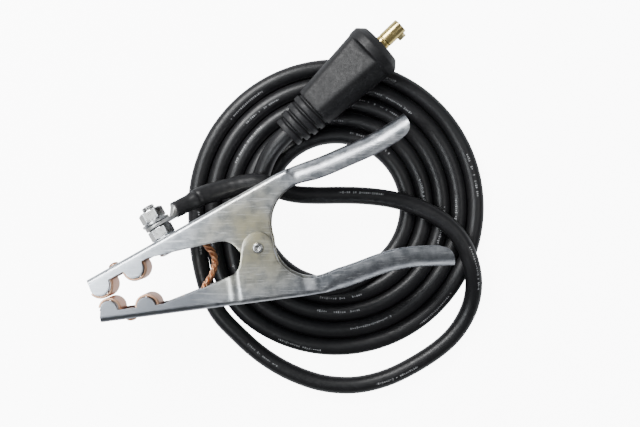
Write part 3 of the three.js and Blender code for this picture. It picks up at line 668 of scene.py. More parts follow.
def make_materials(cable_length: float) -> Materials:
    """Build every material of the object.

    Args:
        cable_length: Length the printed marks run over, in metres.

    Returns:
        The materials by look.
    """
    finishes = {
        Look.ZINC: Plate(
            (0.58, 0.6, 0.63), (0.33, 0.35, 0.38), (0.46, 0.41, 0.23), (0.29, 0.36), 190, tint_share=0.9
        ),
        Look.BRIGHT: Metal((0.74, 0.75, 0.76), (0.42, 0.42, 0.42), (0.6, 0.58, 0.52), (0.2, 0.38), 240),
        Look.SPRING: Metal((0.3, 0.31, 0.33), (0.14, 0.14, 0.15), (0.24, 0.2, 0.16), (0.25, 0.4), 200),
        Look.COPPER: Metal(
            (0.66, 0.34, 0.2), (0.4, 0.18, 0.1), (0.55, 0.25, 0.14), (0.26, 0.42), 160, (0.85, 0.55, 0.38)
        ),
        Look.STRANDS: Wire((0.78, 0.4, 0.22), (0.5, 0.22, 0.11), (0.16, 0.06, 0.03), (0.28, 0.42), 300),
        Look.BRASS: Metal(
            (0.85, 0.66, 0.24), (0.62, 0.45, 0.13), (0.78, 0.56, 0.18), (0.16, 0.32), 90, (0.98, 0.86, 0.5)
        ),
        Look.TINNED: Metal((0.6, 0.6, 0.59), (0.36, 0.36, 0.35), (0.5, 0.48, 0.44), (0.38, 0.55), 260),
        Look.CABLE: PrintedRubber(
            (0.010, 0.010, 0.011), (0.004, 0.004, 0.005), (0.34, 0.48), 0.2, specular=0.5, length=cable_length
        ),
        Look.SLEEVE: Rubber((0.010, 0.010, 0.011), (0.005, 0.005, 0.006), (0.44, 0.6), 0.5),
        Look.SHRINK: Rubber((0.009, 0.009, 0.010), (0.005, 0.005, 0.006), (0.4, 0.55), 0.25, 800),
    }
    return {look: finish.build(look.value[0]) for look, finish in finishes.items()}


# ---------------------------------------------------------------- cable

PLUG_PLACE = (
    Matrix.Translation((15.5, 67.7, 21.5))
    @ Matrix.Rotation(radians(43.3), 4, "Z")
    @ Matrix.Rotation(radians(-5.2), 4, "Y")
)


@dataclass
class Cable:
    """One length of cable: loose run from the lug, five turns, and a run into the plug."""

    radius: float = 5.25
    step: float = 3.0
    sides: int = 24
    centre: tuple[float, float] = (45.0, 23.4)
    outer: float = 86.4
    pitch: float = 10.46
    turns: int = 5
    lift: float = 5.3
    shift: tuple[float, float] = (306.0, 360.0)
    climb: tuple[float, float] = (225.0, 285.0)
    lead: tuple = (
        (-38.8, 27.6, 33.0), (-34.9, 29.9, 30.9), (-27.5, 32.4, 28.1), (-19.0, 34.8, 26.2),
        (-11.0, 36.8, 25.5), (-3.2, 37.8, 25.5), (4.6, 36.2, 25.2), (12.6, 32.9, 24.4),
        (21.0, 31.0, 23.3), (34.0, 30.4, 21.4), (48.2, 30.6, 19.4), (62.0, 30.2, 17.7),
        (76.0, 28.6, 16.6), (89.0, 25.4, 16.1), (101.5, 20.2, 16.1), (113.0, 12.6, 16.1),
        (121.4, 2.6, 16.1), (126.5, -9.4, 16.1), (129.4, -22.8, 11.4), (128.4, -35.4, 7.4),
        (124.0, -46.6, 5.6), (117.2, -56.2, 5.3), (108.4, -64.2, 5.3), (93.8, -73.8, 5.3),
        (76.4, -82.2, 5.3), (57.6, -86.6, 5.3), (37.4, -85.6, 5.3), (17.6, -79.0, 5.3),
        (-0.7, -68.2, 5.3), (-16.2, -54.6, 5.3), (-27.6, -42.2, 5.3), (-34.5, -27.7, 5.3),
        (-40.1, -2.9, 5.3),
    )
    tail: tuple = (
        (32.4, -23.5, 14.9), (20.7, -18.7, 15.6), (10.6, -11.0, 16.1), (2.9, -0.9, 16.1),
        (-1.9, 10.8, 15.5), (-3.6, 23.4, 14.9), (-2.9, 31.8, 14.7), (-1.3, 39.5, 14.8),
        (0.9, 47.2, 16.0), (4.3, 54.6, 18.2), (9.1, 61.2, 20.2), (15.5, 67.7, 21.5),
        (20.9, 72.8, 22.2), (26.3, 77.9, 22.9),
    )

    def coil(self) -> list[tuple[float, float, float]]:
        """Points of the wound turns, clockwise from the left; the last turn climbs over its neighbour."""
        points = []
        stop = 360.0 * (self.turns - 1) + self.climb[1]
        for k in range(int(stop // 5)):
            turn, local = divmod(5.0 * k, 360.0)
            angle = radians(180.0 - local)
            r, z = self.outer - self.pitch * turn, self.lift
            if turn < self.turns - 1:
                r -= self.pitch * step_between(local, *self.shift)
            else:
                roll = radians(60.0 * step_between(local, *self.climb))
                r += self.pitch * (1 - cos(roll))
                z += self.pitch * sin(roll)
            points.append((self.centre[0] + r * cos(angle), self.centre[1] + r * sin(angle), z))
        return points

    def route(self) -> list[Vector]:
        """Evenly spaced points of the middle line, from lug to plug."""
        return evenly(smooth_line([*self.lead, *self.coil(), *self.tail], 8), self.step)

    def build(self, maker: Maker, route: list[Vector]) -> bpy.types.Object:
        """Make the jacket.

        Args:
            maker: Makes the piece.
            route: Middle line from route().

        Returns:
            The cable.
        """
        bm = tube_mesh(Guide(route), self.sides, lambda _i, _a: self.radius)
        nodes = ("cable_lead", "cable_coil", "cable_tail")
        return maker.piece(
            "cable", bm, Matrix.Identity(4), Look.CABLE, Body.UPPER, *nodes, sharp=180, sheet=True
        )


@dataclass
class Plug:
    """Cable plug along X from its rear: ribbed rubber sleeve, brass pin with a twist-lock key."""

    length: float = 77.0
    ribs: tuple = (9.7, 11.0, 12.0, 12.4)
    rib_pitch: float = 5.6
    rib_width: float = 3.4
    rib_height: float = 1.3
    body: tuple = (12.9, 16.6)
    body_rows: int = 12
    flats: tuple = (0.87, 0.79)
    flats_turn: float = 75.0
    corner: float = 2.4
    collar_r: float = 17.2
    collar: float = 5.0
    chamfer: float = 4.2
    pin_r: float = 4.5
    pin_out: float = 16.0
    groove: float = 0.25
    core: tuple = (7.3, 23.0, 61.5)
    bore: float = 4.8
    bore_deep: float = 8.0
    cable_bore: float = 5.55
    key: tuple = (4.7, 3.4, 2.0)
    key_turn: float = -170.0

    def sleeve_profile(self) -> Points:
        """Outline of the sleeve as (radius, x), from the cable's bore round the outside to the pin's bore."""
        out = [(self.cable_bore, 6.0), (self.cable_bore, 0.0)]
        for k, r in enumerate(self.ribs):
            x = k * self.rib_pitch
            low = r - self.rib_height
            edge = x + self.rib_width
            out += [(r, x), (r, edge), (low, edge + 0.5), (low, x + self.rib_pitch - 0.3)]
        start, front = self.body_ends()
        rear_r, front_r = self.body
        for i in range(self.body_rows + 1):
            share = i / self.body_rows
            out.append((rear_r + (front_r - rear_r) * share, start + (front - 0.9 - start) * share))
        out += [(self.collar_r, front), (self.collar_r, self.length - self.chamfer)]
        out += [(self.collar_r - self.chamfer, self.length), (self.bore, self.length)]
        return [*out, (self.bore, self.length - self.bore_deep)]

    def body_ends(self) -> tuple[float, float]:
        """Where the body starts behind the ribs, and where its collar starts."""
        return len(self.ribs) * self.rib_pitch, self.length - self.chamfer - self.collar

    def flatted(self, r: float, x: float, angle: float) -> float:
        """Radius held inside the body's two flats, with a soft edge along each side of them."""
        start, front = self.body_ends()
        if r < self.body[0] - 0.2 or not start - 0.1 < x < front - 0.05:
            return r
        turned = (angle - radians(self.flats_turn) + TAU / 4) % (TAU / 2) - TAU / 4
        share = (x - start) / (front - start)
        deep = r * (self.flats[0] + (self.flats[1] - self.flats[0]) * share)
        flat = deep / max(0.05, cos(turned))
        soft = -ln(exp(-(flat - r) * self.corner) + 1) / self.corner + r
        return soft + (r - soft) * step_between(x, front - 1.2, front)

    def build(self, maker: Maker) -> list[str]:
        """Make the sleeve and the pin.

        Args:
            maker: Makes the pieces.

        Returns:
            Names of what goes with the cable's end, CAD nodes among them.
        """
        bm = turned_mesh(eased(self.sleeve_profile(), 0.55, 2), 120, self.flatted)
        maker.piece("sleeve", bm, PLUG_PLACE, Look.SLEEVE, Body.UPPER, "plug_sleeve", sharp=50)
        maker.piece("pin", self.pin(), PLUG_PLACE, Look.BRASS, Body.UPPER, "plug_pin", sharp=38)
        return ["sleeve", "pin", "plug_ferrule", "plug_conductor", "plug_screw_1", "plug_screw_2"]

    def pin(self) -> BMesh:
        """Brass core and contact pin with the key on its side."""
        r, end, tip = self.pin_r, self.length, self.length + self.pin_out
        core_r, back, front = self.core
        profile = [(0, back), (core_r, back), (core_r, front), (r, front), (r, front + 11.5)]
        profile += [(r, end + 2.2), (r - self.groove, end + 2.5), (r - self.groove, end + 3.1)]
        profile += [(r, end + 3.4), (r, tip), (2.2, tip), (1.9, tip - 0.9), (0, tip - 1.2)]
        bm = turned_mesh(eased(profile, 0.45, 3), 72)
        key = bmesh.new()
        long, wide, high = self.key
        size = Matrix.Diagonal((long, self.pin_r * 0.5 + high, wide, 1))
        at = Matrix.Translation((tip - 1.6 - long / 2, self.pin_r * 0.75 + high / 2, 0))
        turn = Matrix.Rotation(radians(self.key_turn), 4, "X")
        bmesh.ops.create_cube(key, size=1, matrix=turn @ at @ size)
        bmesh.ops.bevel(
            key, geom=key.edges[:], offset=0.55, segments=3, profile=0.5, affect="EDGES", material=-1
        )
        return joined(bm, key)


# ---------------------------------------------------------------- clamp


@dataclass(frozen=True)
class Lobe:
    """Round tab of a jaw: distance behind the tip, centre's depth under the web, radius."""

    back: float
    depth: float
    r: float


@dataclass(frozen=True)
class ArmForm:
    """Sizes that differ between the two arms; x runs to the handle and y to the web."""

    name: str
    body: Body
    web: float
    nose: Lobe
    heel: Lobe
    gullet: tuple[float, float, float]
    bow: tuple[tuple[float, float], ...]
    joggled: bool
    tail: float


UPPER_ARM = ArmForm(
    "upper", Body.UPPER, 31.8, Lobe(5.1, 6.6, 5.7), Lobe(26.7, 7.6, 5.4), (34.0, -2.8, 24.3),
    ((0.25, 0), (0.37, 0.8), (0.5, 3.2), (0.635, 4.8), (0.79, 6.3), (0.9, 6.1), (1, 5.5)), False, -37.8,
)
LOWER_ARM = ArmForm(
    "lower", Body.LOWER, 30.5, Lobe(5.5, 7.1, 4.7), Lobe(26.8, 5.9, 5.2), (30.4, -0.9, 22.0),
    ((0.25, 0), (0.385, 0.5), (0.49, 2.6), (0.59, 5.2), (0.69, 7.1), (0.79, 7.6), (1, 5.8)), True, -48.8,
)


@dataclass
class Frame:
    """Sizes and places that all pieces of the clamp share."""

    sheet: float = 2.0
    channel: float = 24.0
    wide: float = 28.8
    jaw: float = 94.0
    handle: float = 110.0
    height: float = 44.5
    upper_angle: float = radians(29.4)
    strip: float = 1.5
    proud: float = 1.65
    gap: float = 0.3

    def lobe(self, arm: ArmForm, lobe: Lobe) -> Vector:
        """Centre of a lobe in the arm's plane."""
        return Vector((lobe.back - self.jaw, arm.web - lobe.depth))

    def lower_angle(self) -> float:
        """Angle of the lower arm at which the two nose contacts just clear each other."""
        up, low = self.lobe(UPPER_ARM, UPPER_ARM.nose), self.lobe(LOWER_ARM, LOWER_ARM.nose)
        apart = UPPER_ARM.nose.r + LOWER_ARM.nose.r + 2 * self.proud + self.gap
        a, b = up.length, low.length
        between = acos((a * a + b * b - apart * apart) / (2 * a * b))
        return self.upper_angle - atan2(up.y, -up.x) - atan2(low.y, -low.x) + between

    def place(self, arm: ArmForm) -> Matrix:
        """Matrix from an arm's own frame to the row frame."""
        lift = Matrix.Translation((0, 0, self.height))
        if arm is UPPER_ARM:
            return lift @ Matrix.Rotation(self.upper_angle, 4, "Z")
        return lift @ Matrix.Rotation(self.lower_angle(), 4, "Z") @ Matrix.Rotation(pi, 4, "X")

    def strip_height(self, arm: ArmForm) -> float:
        """Height of a contact strip's middle where it lies along the web."""
        return arm.web - self.sheet - self.gap - self.strip / 2


@dataclass
class Arm:
    """Folded steel arm: a channel with lobed jaw, round ear and bowed handle."""

    frame: Frame
    form: ArmForm
    ear: float = 8.9
    jaw_bend: float = 3.0
    handle_bend: float = 9.0
    handle_start: float = 36.0
    handle_depth: float = 11.5
    edge_depth: float = 6.0
    arch: tuple = (-20.6, 4.4, 10.0)
    joggle_front: tuple = (-19.6, -12.3)
    joggle_back: tuple = (21.0, 32.0)
    lobe_points: int = 22
    handle_points: int = 26
    ear_end: int = 14
    flange_rows: int = 7
    bend_rows: int = 7
    web_rows: int = 6

    def __post_init__(self) -> None:
        """Work out the handle's line."""
        line = [(s * self.frame.handle, self.form.web - drop, 0) for s, drop in self.form.bow]
        self.back = smooth_line(line, 12)

    def top(self, x: float) -> float:
        """Height of the web's outer face at x."""
        if x <= self.back[0].x:
            return self.form.web
        for p, q in zip(self.back, self.back[1:]):
            if q.x >= x:
                return p.y + (q.y - p.y) * (x - p.x) / max(q.x - p.x, 1e-6)
        return self.back[-1].y

    def half(self, x: float) -> float:
        """Half width over the flanges at x."""
        narrow = self.frame.channel / 2
        if not self.form.joggled:
            return narrow
        out = step_between(x, *self.joggle_front) - step_between(x, *self.joggle_back)
        return narrow + (self.frame.wide / 2 - narrow) * out

    def bend(self, x: float) -> float:
        """Bend radius at x; the handle is a fuller round."""
        share = step_between(x, self.handle_start - 0.8, self.handle_start + 1.6)
        return self.jaw_bend + (self.handle_bend - self.jaw_bend) * share

    @staticmethod
    def spread(points: list[Vector], start: float, end: float) -> list[tuple[Vector, float]]:
        """Points of a lobe, each with an evenly spaced place on the web."""
        last = len(points) - 1
        return [(p, start + (end - start) * i / last) for i, p in enumerate(points)]

    def outline(self) -> list[tuple[Vector, float]]:
        """Flange edge from tip to handle end, each point with the place on the web above it."""
        f, a = self.frame, self.form
        nose, heel = f.lobe(a, a.nose), f.lobe(a, a.heel)
        edge = a.web - self.edge_depth
        first = arc(nose.x, nose.y, a.nose.r, 180, 360, self.lobe_points)
        middle = [Vector((nose.x + a.nose.r + 0.6, edge)), Vector((heel.x - a.heel.r - 0.6, edge))]
        second = arc(heel.x, heel.y, a.heel.r, 180, 360, self.lobe_points)
        ax, ay, ar = self.arch
        knee = Vector((ax - 3.4, ay + ar + 1.6))
        run = [Vector((heel.x + a.heel.r + 0.8, edge)), Vector((heel.x + a.heel.r + 4.2, edge))]
        run += [run[-1].lerp(knee, i / 10) for i in range(1, 11)]
        hollow = arc(ax, ay, ar, 66, 6, 12)
        run += bezier(knee, Vector((ax + 0.6, ay + ar + 0.5)), hollow[0], 5)
        ear = arc(0, 0, self.ear, 192, 332, 22)
        gx, gy, gr = a.gullet
        gullet = arc(gx, gy, gr, 171, 76, 26)
        start, stop = gullet[-1].x + 8, f.handle - 8
        at = [start + (stop - start) * i / self.handle_points for i in range(self.handle_points + 1)]
        handle = [Vector((x, self.top(x) - self.handle_depth)) for x in at]
        end = self.top(f.handle)
        round_end = bezier(
            handle[-1], Vector((f.handle - 0.6, end - self.handle_depth)), Vector((f.handle, end - 4)), 8
        )
        columns = self.spread(first, -f.jaw, first[-1].x)
        columns += [(p, p.x) for p in middle]
        columns += self.spread(second, second[0].x, second[-1].x)
        columns += [(p, p.x) for p in run]
        bow = [*hollow[1:], *ear, *gullet[: self.ear_end]]
        x0, x1 = hollow[0].x, gullet[self.ear_end].x
        columns += [(p, x0 + (x1 - x0) * (i + 1) / (len(bow) + 1)) for i, p in enumerate(bow)]
        columns += [(p, p.x) for p in [*gullet[self.ear_end :], *handle, *round_end]]
        return columns

    def section(self, edge: Vector, x: float) -> list[Vector]:
        """Half of the folded section at one column, from the flange's edge to the middle of the web."""
        top, r = self.top(x), self.bend(x)
        start = asin(min(1.0, max(0.0, (edge.y - top + r) / r)))
        rows = []
        for i in range(self.flange_rows):
            share = i / self.flange_rows
            px = edge.x + (x - edge.x) * share
            py = edge.y + max(0.0, top - r - edge.y) * share
            rows.append(Vector((px, py, self.half(px) - r * (1 - cos(start)))))
        if start > 0:
            rows = [rows[0]] * self.flange_rows
        for i in range(self.bend_rows + 1):
            t = start + (TAU / 4 - start) * i / self.bend_rows
            rows.append(Vector((x, top - r + r * sin(t), self.half(x) - r * (1 - cos(t)))))
        flat = self.half(x) - r
        rows += [Vector((x, top, flat * (1 - i / self.web_rows))) for i in range(1, self.web_rows + 1)]
        return rows

    def build(self, maker: Maker) -> None:
        """Fold the arm from its flange edges over the web.

        Args:
            maker: Makes the piece.
        """
        columns = [self.section(p, x) for p, x in self.outline()]
        middle = len(columns[0]) - 1

        def shape(i: int, j: int) -> Vector:
            """Point of the folded sheet; the far half mirrors the near one."""
            x, y, z = columns[i][middle - abs(j - middle)]
            return Vector((x, y, z if j <= middle else -z))

        bm = sheet_mesh(len(columns) - 1, 2 * middle, shape)
        a = self.form
        arm = maker.piece(
            f"{a.name}_jaw_arm", bm, self.frame.place(a), Look.ZINC, a.body, f"{a.name}_arm", sheet=True
        )
        maker.thicken(arm, self.frame.sheet)
        maker.soften(arm, 0.45, 3)


@dataclass
class Contact:
    """Bent copper strip over both lobes of one jaw, and its rivet."""

    frame: Frame
    form: ArmForm
    width: float = 18.6
    rivet_at: float = 15.4
    lift: float = 10.0
    rows: int = 8

    def path(self) -> list[Vector]:
        """Middle line of the strip in the arm's plane, from nose to tail."""
        f, a = self.frame, self.form
        flat = f.strip_height(a)
        nose, heel = f.lobe(a, a.nose), f.lobe(a, a.heel)
        nose_r, heel_r = a.nose.r + f.proud - f.strip / 2, a.heel.r + f.proud - f.strip / 2
        lift = radians(self.lift)
        line = arc(nose.x, nose.y, nose_r, 192, 360 + self.lift, 26)
        back = nose.x + nose_r
        line += bezier(line[-1], Vector((back - 0.4, flat)), Vector((back + 1.7, flat)), 7)
        rise = Vector((heel.x - heel_r * cos(lift), heel.y + heel_r * sin(lift)))
        line.append(Vector((heel.x - heel_r - 1.7, flat)))
        line += bezier(line[-1], Vector((heel.x - heel_r + 0.2, flat)), rise, 7)
        line += arc(heel.x, heel.y, heel_r, 180 - self.lift, 360 + self.lift, 26)[1:]
        back = heel.x + heel_r
        line += bezier(line[-1], Vector((back - 0.2, flat)), Vector((back + 1.7, flat)), 7)
        return [*line, Vector((a.tail, flat))]

    def build(self, maker: Maker) -> None:
        """Make the strip and its rivet.

        Args:
            maker: Makes the pieces.
        """
        f, a = self.frame, self.form
        path = self.path()

        def shape(i: int, j: int) -> Vector:
            """Point of the bent strip."""
            return Vector((*path[i], self.width * (j / self.rows - 0.5)))

        strip = maker.piece(
            f"{a.name}_strip", sheet_mesh(len(path) - 1, self.rows, shape), f.place(a),
            Look.COPPER, a.body, f"{a.name}_contact", sheet=True,
        )
        maker.thicken(strip, f.strip, 0.0)
        maker.soften(strip, 0.25)
        seat = a.web + f.gap
        inside = f.strip_height(a) - f.strip / 2 - f.gap
        slopes = [radians(9 * i) for i in range(10)]
        dome = [(3.0 * cos(t), seat + 0.25 + 1.45 * sin(t)) for t in slopes]
        profile = [(0, inside - 1.2), (1.7, inside - 1.2), (2.0, inside - 0.8), (2.0, inside), (1.5, inside)]
        profile += [(1.5, seat), (2.8, seat), *dome, (0, seat + 1.7)]
        stand = Matrix.Translation((self.rivet_at - f.jaw, 0, 0)) @ Matrix.Rotation(TAU / 4, 4, "Z")
        maker.piece(
            f"{a.name}_rivet", turned_mesh(profile, 40), f.place(a) @ stand,
            Look.COPPER, a.body, f"{a.name}_contact_rivet", sharp=45,
        )


@dataclass
class Pivot:
    """Pivot rivet, spacer tube and torsion spring."""

    frame: Frame
    rivet_r: float = 2.4
    head_r: float = 3.1
    foot_r: float = 4.4
    spacer_r: float = 4.0
    wire: float = 2.4
    spring_r: float = 6.2
    turns: int = 6
    side: float = 0.7

    def half_coil(self) -> float:
        """Half height of the coil between its wire's ends."""
        room = self.frame.channel - 2 * (self.frame.sheet + self.side) - self.wire
        return room * (radians(5 - 20) + TAU * self.turns) / TAU / self.turns / 2

    def spring_line(self) -> list[Vector]:
        """Middle line of the spring: low leg, coils, high leg."""
        f = self.frame
        first, last = radians(20), radians(5) + TAU * self.turns
        half = self.half_coil()
        angle = f.lower_angle()
        legs = []
        for at, turn, normal, web, z in (
            (first, -1, Vector((sin(angle), -cos(angle))), LOWER_ARM.web, -half),
            (last, 1, Vector((-sin(f.upper_angle), cos(f.upper_angle))), UPPER_ARM.web, half),
        ):
            start = self.spring_r * Vector((cos(at), sin(at)))
            way = turn * Vector((-sin(at), cos(at)))
            reach = (web - f.sheet - f.gap - self.wire / 2 - start.dot(normal)) / way.dot(normal)
            foot = start + way * reach
            legs.append([Vector((*foot, z)), Vector((*start.lerp(foot, 0.3), z))])
        count = 16 * self.turns
        coil = []
        for i in range(count + 1):
            a = first + (last - first) * i / count
            z = -half + 2 * half * i / count
            coil.append((self.spring_r * cos(a), self.spring_r * sin(a), z))
        return smooth_line([*legs[0], *coil, *reversed(legs[1])], 4)

    def build(self, maker: Maker) -> None:
        """Make the rivet, the spacer and the spring, which winds up between the two arms.

        Args:
            maker: Makes the pieces.
        """
        f = self.frame
        upright = Matrix.Translation((0, 0, f.height)) @ Matrix.Rotation(-TAU / 4, 4, "Y")
        face = f.wide / 2 + f.gap
        profile = [(0, -face - 1.5), (2.6, -face - 1.3), (4.2, -face - 0.5), (self.foot_r, -face)]
        profile += [(self.rivet_r, -face), (self.rivet_r, face), (self.head_r, face), (3.05, face + 0.7)]
        profile += [(2.5, face + 1.45), (1.35, face + 1.5)]
        profile += [(1.0, face + 0.95), (0.5, face + 0.8), (0, face + 0.8)]
        half = f.channel / 2 - f.sheet - f.gap
        tube = [(2.7, -half), (self.spacer_r, -half), (self.spacer_r, half), (2.7, half), (2.7, -half)]
        for name, bm, node in (
            ("pivot_pin", turned_mesh(eased(profile, 0.3, 3), 48), "pivot_rivet"),
            ("spacer", turned_mesh(eased(tube, 0.25, 2), 40), "pivot_spacer"),
        ):
            maker.piece(name, bm, upright, Look.BRIGHT, Body.UPPER, node, sharp=45)
        guide = Guide(evenly(self.spring_line(), 1.1))
        last = len(guide.points) - 1

        def radius(i: int, _angle: float) -> float:
            """Wire radius, closed at both cut ends."""
            return 0.0 if i in (0, last) else self.wire / 2

        spring = maker.piece(
            "spring", tube_mesh(guide, 14, radius), Matrix.Translation((0, 0, f.height)),
            Look.SPRING, None, "torsion_spring", sharp=60,
        )
        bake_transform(spring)


@dataclass
class Link:
    """Twisted copper wire between the arms, with a crimped terminal at each end."""

    frame: Frame
    radius: float = 2.0
    bundles: int = 3
    lay: float = 12.0
    bolt_x: float = -45.0
    rivet_x: float = -53.0
    bow: tuple = ((-30.9, 1.6), (-27.0, -3.2), (-25.6, -9.0), (-27.2, -15.5), (-31.2, -22.3))

    def mouth(self, arm: ArmForm, x: float) -> Vector:
        """Middle of the wire in a terminal, in the row frame."""
        f = self.frame
        y = f.strip_height(arm) - f.strip / 2 - f.gap - 1.6
        return f.place(arm) @ Vector((x, y, 0))

    def line(self) -> list[Vector]:
        """Middle line from the upper terminal to the lower one."""
        up = [self.mouth(UPPER_ARM, self.bolt_x + d) for d in (9.6, 15.6)]
        low = [self.mouth(LOWER_ARM, self.rivet_x + d) for d in (12.2, 6.6)]
        bends = [up[1] + Vector((3.0, 0.2, 0)), up[1] + Vector((5.8, -2.8, 0))]
        bow = [Vector((x, y, self.frame.height)) for x, y in self.bow]
        return evenly(smooth_line([*up, *bends, *bow, low[0] + Vector((3.4, 1.6, 0)), *low]), 0.6)

    def build(self, maker: Maker) -> None:
        """Make the twisted wire and both terminals.

        Args:
            maker: Makes the pieces.
        """
        core = Guide(self.line())
        strand = self.radius * 0.53
        parts = []
        for k in range(self.bundles):
            turned = [
                core.around(i, TAU * (k / self.bundles + i * 0.6 / self.lay), self.radius * 0.5)
                for i in range(len(core.points))
            ]
            parts.append(tube_mesh(Guide(turned), 14, lambda _i, _a: strand))
        wire = maker.piece(
            "twisted_link", joined(*parts), Matrix.Identity(4),
            Look.STRANDS, None, "copper_link", sharp=180, sheet=True,
        )
        start, end = core.points[8] * MM, core.points[-10] * MM
        tuple(start)
        tuple(end)
        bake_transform(wire)
        self.terminal(maker, UPPER_ARM, self.bolt_x, 6.8, 4.2)
        self.terminal(maker, LOWER_ARM, self.rivet_x, 3.8, 1.8)

    def terminal(self, maker: Maker, arm: ArmForm, x: float, plate: float, hole: float) -> None:
        """Make one crimped terminal: ring under the fixing, short barrel round the wire.

        Args:
            maker: Makes the piece.
            arm: Arm it is fixed to.
            x: Place of the fixing along the arm.
            plate: Radius of the ring.
            hole: Radius of its hole.
        """
        f = self.frame
        top = f.strip_height(arm) - f.strip / 2 - f.gap
        ring = [(hole, top - 1), (plate, top - 1), (plate, top), (hole, top), (hole, top - 1)]
        bm = turned_mesh(eased(ring, 0.2, 2), 48)
        bmesh.ops.rotate(bm, verts=bm.verts, cent=(0, 0, 0), matrix=Matrix.Rotation(TAU / 4, 3, "Z"))
        bore = self.radius + f.gap
        skin = [(bore, 0), (bore + 0.7, 0), (bore + 0.7, 7), (bore, 7), (bore, 0)]

        def pinched(r: float, at: float, angle: float) -> float:
            """Barrel squeezed flat at the middle of its length."""
            return r * (1 - 0.1 * exp(-((at - 3.5) ** 2)) * cos(angle) ** 2)

        barrel = turned_mesh(eased(skin, 0.2, 2), 32, pinched)
        bmesh.ops.translate(barrel, verts=barrel.verts, vec=(plate + 1.2, top - 1.6, 0))
        place = f.place(arm) @ Matrix.Translation((x, 0, 0))
        node = f"link_terminal_{arm.name}"
        maker.piece(f"{node}_crimp", joined(bm, barrel), place, Look.COPPER, arm.body, node)


